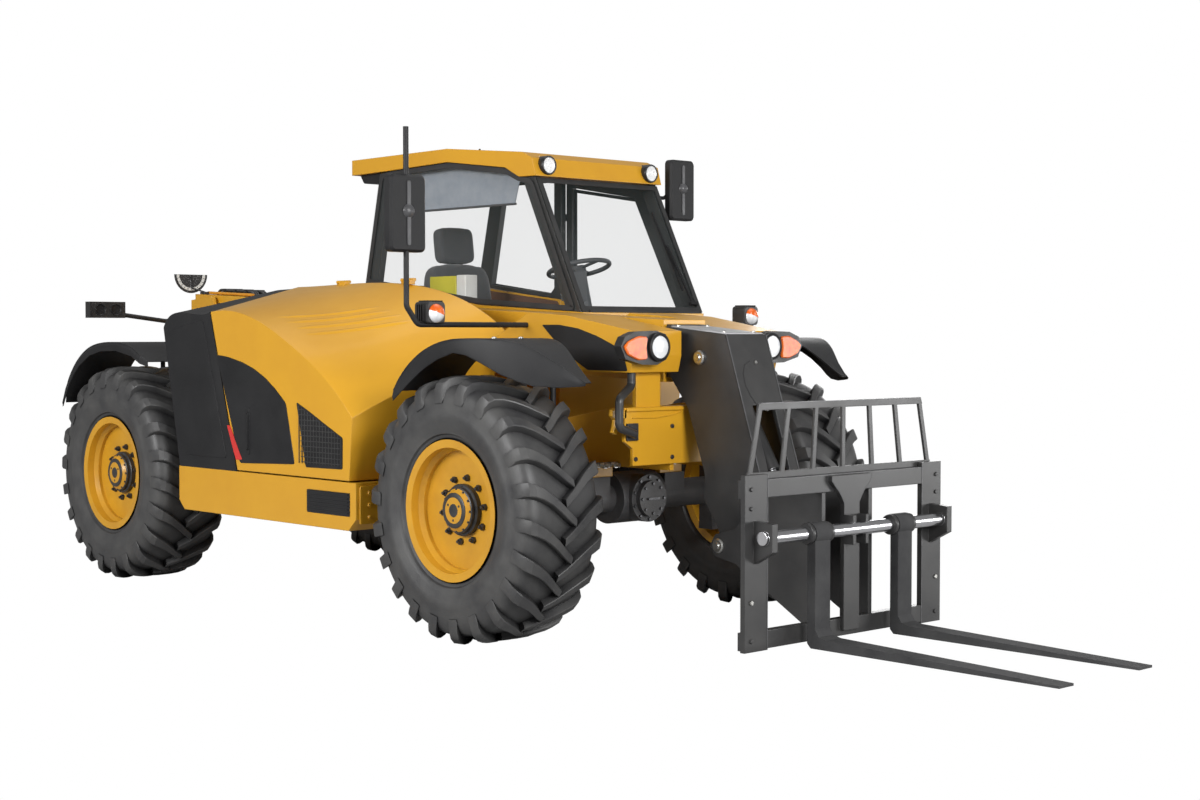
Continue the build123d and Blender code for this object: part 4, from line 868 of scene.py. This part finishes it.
# Fork tines: forged steel in dull worn black enamel. Each hangs on the shaft by its eye, with a
# split collar at both ends of the eye.
fork_steel = finish("fork_steel", (0.030, 0.030, 0.032), (0.075, 0.075, 0.075), 7, (0.50, 0.70), 0.3, 160,
                    spread=0.9, shine=0.01, edge=0.004)
wear(fork_steel, "fork_left", "fork_right")
COLLAR_IN, COLLAR_OUT, COLLAR_EDGE, COLLAR_SOFT = SHAFT_R, 0.046, 0.044, 0.004
for side, y in (("right", -0.287), ("left", 0.287)):
    collars = [lathe([(COLLAR_IN, a), (COLLAR_EDGE, a), (COLLAR_OUT, a + COLLAR_SOFT), (COLLAR_OUT, b - COLLAR_SOFT),
                      (COLLAR_EDGE, b), (COLLAR_IN, b)], 32)
               for a, b in ((y - 0.072, y - 0.052), (y + 0.052, y + 0.072))]
    fit(f"fork_collars_{side}", moved(gather(collars), SHAFT_X, 0.0, SHAFT_Z), black_enamel, f"fork_{side}")

# Load guard: welded flats in the black enamel, bolted to the carriage, with the top rail's edge
# rubbed grey by loads.
GUARD_FACE, GUARD_HALF = 1.998, 0.552
guard_rail = slab(rectangle(-GUARD_HALF, 1.1435, GUARD_HALF, 1.1462), -0.010, 0.001, on_end(GUARD_FACE))
fit("load_guard_edge", guard_rail, edge_grey, "carriage")

# Boom hoses: a pack of five black rubber hoses and two yellow steel pipes that run along the
# boom's rear end, held by three clamps.
BOOM_BACK, BOOM_BACK_Z, BOOM_FALL, BOOM_LONG = -3.315, 1.700, 0.190, 4.315
HOSE_R, PIPE_R = 0.010, 0.009


def boom_top(x):
    """Height of the boom's upper face."""
    return BOOM_BACK_Z - (x - BOOM_BACK) * BOOM_FALL / BOOM_LONG


pack = []
for i, y in enumerate((-0.052, -0.026, 0.0, 0.026, 0.052)):
    start, stop = -3.19 + 0.012 * (i % 2), -2.755 - 0.015 * (i % 3)
    pack.append(tube([(start, y, boom_top(start) + 0.004), (start + 0.03, y, boom_top(start) + 0.030),
                      (stop - 0.03, y, boom_top(stop) + 0.030), (stop, y, boom_top(stop) + 0.004)], HOSE_R, 10))
for x in (-3.10, -2.97, -2.84):
    clamp = slab(rectangle(-0.070, 0.0, 0.070, 0.042), -0.012, 0.012, on_end(x))
    pack.append(moved(clamp, z=boom_top(x)))
hose_pack = fit("boom_hose_pack", gather(pack), tyre_rubber, "boom")
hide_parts("boom_hoses")
yellow_pipe = finish("yellow_pipe", (0.65, 0.30, 0.02), (0.5, 0.2, 0.015), 20, (0.3, 0.45), 0.1, 300)
pipes = [tube([(x, s * 0.095, boom_top(x) + 0.012) for x in (-3.24, -2.70)], PIPE_R, 10) for s in (-1, 1)]
fit("boom_pipes", gather(pipes), yellow_pipe, "boom")

# Angle indicator: a pale half-round scale with plain tick lines, behind a pointer that hangs
# from its middle, on the boom's right side.
dial_white = finish("dial_white", (0.75, 0.75, 0.72), (0.6, 0.6, 0.56), 20, (0.4, 0.55), 0.05, 400)
DIAL_X, DIAL_Y, DIAL_Z = -3.293, -0.190, 1.825
SCALE_OUT, SCALE_IN, TICK_OUT, TICK_IN = 0.104, 0.086, 0.101, 0.090
SCALE_STEPS, TICK_STEPS = 24, 12


def on_dial(u, v, depth):
    """Places a flat piece (y, z, depth) on the dial, from its middle."""
    return (DIAL_X + depth, DIAL_Y + u, DIAL_Z + v)


def below(r, part):
    """A point on the dial's lower half circle, part of the way round."""
    return (r * cos(pi + pi * part), r * sin(pi + pi * part))


scale = []
for k in range(SCALE_STEPS):
    here, on = k / SCALE_STEPS, (k + 1) / SCALE_STEPS
    corners = [below(SCALE_OUT, here), below(SCALE_OUT, on), below(SCALE_IN, on), below(SCALE_IN, here)]
    scale.append(slab(corners, -0.001, 0.0012, on_dial))
fit("indicator_scale", gather(scale), dial_white, "boom")
ticks = [ribbon([below(TICK_IN, k / TICK_STEPS), below(TICK_OUT, k / TICK_STEPS)], 0.003, 0.001, 0.0022, on_dial)
         for k in range(1, TICK_STEPS)]
pointer = ribbon([(0.0, -0.012), (0.012, -0.096)], 0.008, 0.001, 0.004, on_dial)
fit("indicator_ticks", gather(ticks + [pointer]), gloss_black, "boom")

# Window seals: black rubber profiles pressed in round the right, left rear and front panes,
# with a round bead under the windscreen.
seal_rubber = finish("seal_rubber", (0.015, 0.015, 0.016), (0.03, 0.03, 0.03), 12, (0.5, 0.7), 0.2, 500)
RIGHT_PANE = [(-1.880, 1.748), (-0.800, 1.612), (0.010, 1.562), (-0.345, 2.290), (-0.440, 2.300),
              (-0.560, 2.355), (-1.075, 2.420), (-1.640, 2.405), (-1.730, 2.395)]
QUARTER = [(-1.880, 1.748), (-1.166, 1.657), (-1.166, 2.395), (-1.730, 2.395)]
SEAL_DEEP = (-0.0005, 0.003)
RIGHT_GLASS_Y, LEFT_GLASS_Y = 0.184, 1.1163
SCREEN_FOOT, SCREEN_HEAD = Vector((0.0523, 0, 1.5575)), Vector((-0.3195, 0, 2.294))
SCREEN_LONG = (SCREEN_HEAD - SCREEN_FOOT).length
SCREEN_UP = (SCREEN_HEAD - SCREEN_FOOT).normalized()
SCREEN_OUT = Vector((SCREEN_UP.z, 0, -SCREEN_UP.x))


def frame_round(outline, wide, low, high, put):
    """A flat band just inside an outline."""
    count = len(outline)
    middle = Vector((sum(p[0] for p in outline) / count, sum(p[1] for p in outline) / count))
    inside = []
    for i, p in enumerate(outline):
        before, here, after = Vector(outline[i - 1]), Vector(p), Vector(outline[(i + 1) % count])
        square = (here - before).normalized().orthogonal()
        inward = (square + (after - here).normalized().orthogonal()).normalized()
        if inward.dot(middle - here) < 0:
            inward = -inward
        inside.append(tuple(here + inward * wide / max(0.5, abs(inward.dot(square)))))
    band = []
    for i in range(count):
        k = (i + 1) % count
        band.append(slab([outline[i], outline[k], inside[k], inside[i]], low, high, put))
    return gather(band)


def on_screen(u, v, depth):
    """Places a flat piece (across, up the pane, depth) on the windscreen."""
    return tuple(SCREEN_FOOT + SCREEN_UP * v + SCREEN_OUT * depth + Vector((0, u, 0)))


right_seal = frame_round(eased(RIGHT_PANE, 0.05, 3), 0.028, *SEAL_DEEP, on_flank(RIGHT_GLASS_Y, -1))
fit("window_seal_right", right_seal, seal_rubber, "chassis")
left_seal = frame_round(QUARTER, 0.026, *SEAL_DEEP, on_flank(LEFT_GLASS_Y, 1))
fit("window_seal_left", left_seal, seal_rubber, "chassis")
screen_seal = frame_round(rectangle(0.193, 0.004, 1.107, SCREEN_LONG - 0.004), 0.030, 0.0, 0.004, on_screen)
fit("windscreen_seal", screen_seal, seal_rubber, "chassis")
bead = tube([(0.052, 0.245, 1.561), (0.052, 1.075, 1.561)], 0.010, 12)
fit("windscreen_lower_bead", bead, seal_rubber, "chassis")

# Windscreen wiper: a black steel arm and blade parked beside the left post, with the link and
# the blade's clip.
wiper = [ribbon([(1.040, 0.060), (1.000, 0.420)], 0.014, 0.012, 0.022, on_screen),
         ribbon([(1.006, 0.140), (0.986, 0.640)], 0.010, 0.004, 0.013, on_screen),
         ribbon([(1.075, 0.050), (1.020, 0.055)], 0.018, 0.004, 0.024, on_screen),
         ribbon([(1.016, 0.300), (0.996, 0.410)], 0.022, 0.010, 0.018, on_screen)]
fit("windscreen_wiper", gather(wiper), gloss_black, "chassis")


# Cab roof: four ribs pressed along its yellow skin, and the black rubber foot of an aerial,
# screwed on at the rear.
def lathe_z(profile, turns, place):
    """A profile of (radius, height) turned about an upright line, from a place."""
    x, y, z = place
    verts, faces = lathe(profile, turns)
    return [(x + a, y + c, z + b) for a, b, c in verts], faces


roof_ribs = [draped_rib("cab_roof", (-1.86, y), (-0.62, y), 0.05, 0.006) for y in (0.36, 0.52, 0.78, 0.94)]
fit("roof_ribs", gather(roof_ribs), yellow_enamel, "chassis", 50)
AERIAL_X, AERIAL_Y, AERIAL_SUNK = -1.365, 0.650, 0.002
AERIAL_FOOT = [(0.0, 0.0), (0.016, 0.0), (0.016, 0.012), (0.009, 0.022), (0.006, 0.055), (0.0, 0.058)]
roof_z = drape("cab_roof", AERIAL_X, AERIAL_Y)
aerial = lathe_z(AERIAL_FOOT, 20, (AERIAL_X, AERIAL_Y, roof_z - AERIAL_SUNK))
fit("aerial_base", aerial, gloss_black, "chassis")

# Cab door: a hinged steel shell, yellow below its waist seam and black round its pane. The pane
# has a rubber seal, and the handle sits on a black plate.
WAIST_Z = 1.262
DOOR_Y, DOOR_GLASS_Y = 1.144, 1.130
DOOR_PANE = [(-1.045, 1.292), (-0.245, 1.292), (-0.216, 1.318), (-0.128, 1.445), (-0.128, 1.545),
             (-0.497, 2.232), (-1.045, 2.318)]
door_enamel = yellow_enamel.copy()
door_enamel.name = "door_enamel"
tree = door_enamel.node_tree
height = add_node(tree, "SeparateXYZ", {0: add_node(tree, "TexCoord").outputs["Object"]}).outputs["Z"]
above = add_node(tree, "Math", {0: height, 1: WAIST_Z}, operation="GREATER_THAN")
part_finish(door_enamel, above.outputs[0], (0.034, 0.034, 0.035), (0.052, 0.052, 0.053), False, (0.30, 0.46))
wear(door_enamel, "door")
on_door = on_flank(DOOR_Y, 1)
handle_plate = slab(rectangle(-0.345, 1.205, -0.235, 1.275, 0.02), -0.001, 0.004, on_door, 0.002)
fit("door_handle_plate", handle_plate, gloss_black, "door")
door_seal = frame_round(DOOR_PANE, 0.020, -0.0005, 0.004, on_flank(DOOR_GLASS_Y, 1))
fit("door_pane_seal", door_seal, seal_rubber, "door")
seam = ribbon([(-1.09, WAIST_Z), (-0.175, WAIST_Z)], 0.007, -0.001, 0.002, on_door)
fit("door_seam", seam, seam_black, "door")

# Seat: grey woven cloth over moulded foam, sewn in panels, on a black sprung base with a
# pleated cover and one armrest.
SEAT_CUSHIONS = [("seat_pan", (-1.265, 0.650, 1.150), (0.490, 0.480, 0.150), 0.0),
                 ("seat_backrest", (-1.555, 0.650, 1.500), (0.125, 0.460, 0.720), -0.13),
                 ("seat_headrest", (-1.618, 0.650, 1.978), (0.095, 0.260, 0.215), -0.13)]
SEAT_PUFF, FOAM_FILL = 0.02, 0.85
PLEATS, PLEAT_STEP, PLEAT_HIGH = 7, 0.033, 0.024


def cushion_mesh(size, puff, cuts=14):
    """A crowned, rounded cushion: a box whose faces swell toward their middles, pinched along two seams."""
    work = bmesh.new()
    bmesh.ops.create_cube(work, size=2.0)
    bmesh.ops.subdivide_edges(work, edges=work.edges[:], cuts=cuts, use_grid_fill=True)
    half = Vector(size) / 2
    for v in work.verts:
        x, y, z = v.co
        shrink = (abs(x) ** 6 + abs(y) ** 6 + abs(z) ** 6) ** (1 / 6)
        x, y, z = x / shrink, y / shrink, z / shrink
        seam = 1 - 0.035 * (1 / (1 + (abs(abs(y) - 0.55) / 0.045) ** 2))
        swell = 1 + puff * (1 - min(1, y * y)) * (1 - min(1, x * x * z * z))
        v.co = Vector((x * half.x * seam * swell, y * half.y, z * half.z * seam * swell))
    verts = [tuple(v.co) for v in work.verts]
    faces = [tuple(v.index for v in f.verts) for f in work.faces]
    work.free()
    return verts, faces


def lying(u, v, depth):
    """Places a flat piece (x, y) level, with its depth upward."""
    return (u, v, depth)


grey_cloth = finish("grey_cloth", (0.052, 0.054, 0.059), (0.078, 0.080, 0.085), 9, (0.75, 0.95), 0.7, 850)
grey_cloth.node_tree.nodes["Principled BSDF"].inputs["Sheen Weight"].default_value = 0.3
for name, place, size, lean in SEAT_CUSHIONS:
    verts, faces = cushion_mesh(size, SEAT_PUFF)
    turn = Matrix.Rotation(lean, 4, "Y")
    cushion = [tuple(Vector(place) + turn @ Vector(p)) for p in verts], faces
    piece = fit(name, cushion, grey_cloth, "chassis", 80)
    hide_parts("seat")
seat_plastic = finish("seat_base", (0.025, 0.025, 0.027), (0.045, 0.045, 0.046), 10, (0.45, 0.65), 0.3, 500)
base = [slab(rectangle(-1.44, 0.47, -1.08, 0.83, 0.03), 0.742, 0.790, lying, 0.008),
        slab(rectangle(-1.42, 0.49, -1.10, 0.81, 0.03), 1.030, 1.082, lying, 0.008)]
for i in range(PLEATS):
    back, z = -1.40 + 0.008 * (i % 2), 0.800 + i * PLEAT_STEP
    base.append(slab(rectangle(back, 0.51, -1.12, 0.79, 0.03), z, z + PLEAT_HIGH, lying, 0.007))
base.append(slab(eased([(-1.50, 1.345), (-1.14, 1.345), (-1.12, 1.385), (-1.50, 1.400)], 0.02), 0.0, 0.055,
                 on_flank(0.425, -1), 0.01))
base += [tube([(-1.600, y, 1.84), (-1.612, y, 1.90)], 0.008, 10) for y in (0.60, 0.70)]
seat_base = fit("seat_base", gather(base), seat_plastic, "chassis")
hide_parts("seat")

# Driver's controls: a moulded dash with a dark screen, and on the right-hand console three
# lever knobs on thin rods and a row of four switches.
dash_plastic = finish("dash_plastic", (0.05, 0.052, 0.056), (0.08, 0.082, 0.088), 8, (0.5, 0.7), 0.4, 700)
wear(dash_plastic, "controls")
screen_glass = finish("screen_glass", (0.012, 0.014, 0.018), (0.02, 0.022, 0.028), 5, (0.05, 0.12), coat=0.5)
SCREEN_FACE = -0.200
display = slab(rectangle(0.278, 1.632, 0.422, 1.770, 0.01), -0.001, 0.002, on_end(SCREEN_FACE, -1))
fit("display_face", display, screen_glass, "chassis")
KNOB = [(0.0, -0.030), (0.016, -0.026), (0.024, -0.004), (0.020, 0.020), (0.0, 0.030)]
ROD_R, ROD_LONG = 0.006, 0.10
knobs = []
for x, y, z in ((-0.900, 0.330, 1.540), (-0.980, 0.300, 1.400), (-0.980, 0.360, 1.400)):
    knobs += [lathe_z(KNOB, 18, (x, y, z)), tube([(x, y, z - ROD_LONG), (x, y, z)], ROD_R, 8)]
knobs += [slab(rectangle(x, 0.300, x + 0.035, 0.360, 0.006), 1.328, 1.340, lying, 0.003)
          for x in (-1.30, -1.24, -1.18, -1.12)]
fit("lever_knobs", gather(knobs), gloss_black, "chassis")

# Cab trims: brown fibre boards clipped to the cab's right wall, rear left corner and door, and
# a grey one under the dash.
trim_brown = finish("trim_brown", (0.10, 0.045, 0.025), (0.15, 0.07, 0.04), 6, (0.6, 0.8), 0.3, 500)
SIDE_TRIM = [(-1.60, 1.300), (-0.55, 1.300), (-0.55, 1.560), (-0.85, 1.590), (-1.60, 1.690)]
REAR_TRIM = [(-1.690, 0.760), (-1.155, 0.760), (-1.120, 1.640), (-1.840, 1.722), (-1.835, 1.510), (-1.690, 1.310)]
DOOR_TRIM = [(-1.040, 0.840), (-0.255, 0.840), (-0.215, 1.275), (-1.040, 1.275)]
RIGHT_WALL_Y, LEFT_WALL_Y, DOOR_INSIDE_Y, FRONT_WALL_X = 0.2306, 1.0694, 1.1115, -0.1905
for name, outline, thick, y, way, body in (("cab_side_trim", SIDE_TRIM, 0.006, RIGHT_WALL_Y, 1, "chassis"),
                                           ("cab_rear_trim", REAR_TRIM, 0.006, LEFT_WALL_Y, -1, "chassis"),
                                           ("door_inner_trim", DOOR_TRIM, 0.005, DOOR_INSIDE_Y, -1, "door")):
    fit(name, slab(eased(outline, 0.03), 0.0, thick, on_flank(y, way), 0.002), trim_brown, body)
front_trim = slab(rectangle(0.240, 0.760, 1.060, 1.270, 0.03), 0.0, 0.004, on_end(FRONT_WALL_X, -1), 0.002)
fit("cab_front_trim", front_trim, dash_plastic, "chassis")

# Sun blind: a pale blue-grey roller sheet under the roof's right edge, with a plastic bar
# along its foot that keeps it straight.
blind_cloth = finish("blind_cloth", (0.30, 0.33, 0.37), (0.24, 0.27, 0.31), 14, (0.6, 0.8), 0.3, 500)
BLIND = [(-1.600, 2.165), (-0.560, 2.165), (-0.520, 2.290), (-0.620, 2.350), (-1.060, 2.405), (-1.580, 2.392)]
BLIND_Y, BLIND_THICK, BAR_R, BAR_Z = 0.245, 0.003, 0.007, 2.163
fit("sun_blind", slab(BLIND, 0.0, BLIND_THICK, on_flank(BLIND_Y, 1)), blind_cloth, "chassis")
bar_y = BLIND_Y + BLIND_THICK / 2
blind_bar = tube([(-1.605, bar_y, BAR_Z), (-0.555, bar_y, BAR_Z)], BAR_R, 10)
fit("sun_blind_bar", blind_bar, dash_plastic, "chassis")

# Document box: a folded yellow-green plastic box with a white end, on a small shelf that is
# screwed to the cab's right wall.
box_yellow = finish("box_yellow", (0.55, 0.50, 0.03), (0.45, 0.40, 0.02), 8, (0.4, 0.55), 0.1, 300)
box_white = finish("box_white", (0.72, 0.73, 0.70), (0.6, 0.6, 0.58), 8, (0.4, 0.55), 0.1, 300)
SHELF_TOP = 1.640
box = slab(rectangle(-1.330, 0.240, -1.080, 0.330, 0.008), SHELF_TOP, 1.775, lying, 0.004)
fit("document_box", box, box_yellow, "chassis")
box_end = slab(rectangle(-1.0795, 0.240, -0.995, 0.330, 0.008), SHELF_TOP, 1.780, lying, 0.004)
fit("document_box_end", box_end, box_white, "chassis")
shelf = slab(rectangle(-1.345, 0.2305, -0.980, 0.340, 0.008), 1.628, SHELF_TOP, lying, 0.002)
fit("document_shelf", shelf, dash_plastic, "chassis")

# Mudguard skirts: the moulded outer sides of the guards, in black rubber. They hang from the
# sheets' edges and are deeper toward the nose.
# Along a skirt, from the wheel's middle: x, y, and the heights of its top, crease and foot
FRONT_SKIRT = [(-0.394, 1.170, 0.550, 0.520, 0.503), (-0.340, 1.170, 0.614, 0.578, 0.540),
               (-0.262, 1.170, 0.683, 0.650, 0.592), (-0.185, 1.170, 0.727, 0.700, 0.640),
               (-0.130, 1.170, 0.752, 0.728, 0.668), (-0.045, 1.170, 0.778, 0.756, 0.704),
               (0.068, 1.170, 0.7915, 0.772, 0.733), (0.141, 1.158, 0.795, 0.778, 0.724),
               (0.226, 1.138, 0.796, 0.772, 0.688), (0.320, 1.108, 0.791, 0.744, 0.640),
               (0.395, 1.064, 0.7755, 0.700, 0.606), (0.457, 1.027, 0.743, 0.655, 0.586),
               (0.562, 0.956, 0.676, 0.628, 0.580), (0.640, 0.916, 0.620, 0.606, 0.586),
               (0.670, 0.905, 0.599, 0.594, 0.590)]
REAR_SKIRT = [(-0.541, 1.170, 0.403, 0.400, 0.380), (-0.500, 1.170, 0.493, 0.482, 0.448),
              (-0.450, 1.170, 0.568, 0.553, 0.520), (-0.390, 1.170, 0.630, 0.614, 0.580),
              (-0.330, 1.170, 0.676, 0.660, 0.626), (-0.200, 1.170, 0.738, 0.722, 0.690),
              (-0.060, 1.170, 0.764, 0.748, 0.718), (0.120, 1.170, 0.768, 0.752, 0.722),
              (0.300, 1.170, 0.740, 0.724, 0.694), (0.400, 1.170, 0.688, 0.674, 0.650),
              (0.440, 1.142, 0.660, 0.650, 0.632)]
SKIRT_THICK, SKIRT_TUCK, FOOT_LIP = 0.005, 0.002, 0.004


def skirt(stations):
    """A thin curved wall through stations of (x, y, top, crease, foot)."""
    round_wall = (0, 1, 2, 3, 7, 6, 5, 4)
    verts, faces = [], []
    for i, (x, y, top, crease, foot) in enumerate(stations):
        a, b = stations[max(i - 1, 0)], stations[min(i + 1, len(stations) - 1)]
        out = Vector((a[1] - b[1], b[0] - a[0])).normalized()
        for deep in (0.0, -SKIRT_THICK):
            for z, swell in ((top, 0.0), (crease, 0.007), (foot, 0.003), (foot - FOOT_LIP, 0.006)):
                reach = deep + swell - SKIRT_TUCK
                verts.append((x + out.x * reach, y + out.y * reach, z))
    for i in range(len(stations) - 1):
        a, b = i * 8, i * 8 + 8
        for k in range(8):
            here, on = round_wall[k], round_wall[(k + 1) % 8]
            faces.append((a + here, a + on, b + on, b + here))
    end = (len(stations) - 1) * 8
    return verts, faces + [round_wall, tuple(end + k for k in round_wall)]


for end, x, stations in (("front", FRONT_X, FRONT_SKIRT), ("rear", REAR_X, REAR_SKIRT)):
    for side, s in SIDES:
        fit(f"mudguard_skirt_{end}_{side}", moved(skirt(stations), x, 0.0, AXLE_Z, s), black_moulding,
            f"knuckle_{end}_{side}", 30)

# Mudguard bolts: pale dome heads through each sheet into the tube that carries it, two on
# each guard.
DOME_HEAD = [(0.0, 0.007), (0.008, 0.0055), (0.013, 0.002), (0.014, -0.002)]
for end, x, way in (("front", FRONT_X, 1), ("rear", REAR_X, -1)):
    for side, s in SIDES:
        heads = []
        for off in (-0.06, 0.10):
            px, py = x + way * 0.200, s * (TRACK_HALF + off)
            top = drape(f"fender_{end}_{side}", px, py)
            if top is not None:
                heads.append(lathe_z(DOME_HEAD, 18, (px, py, top)))
        fit(f"mudguard_bolts_{end}_{side}", gather(heads), zinc, f"knuckle_{end}_{side}")
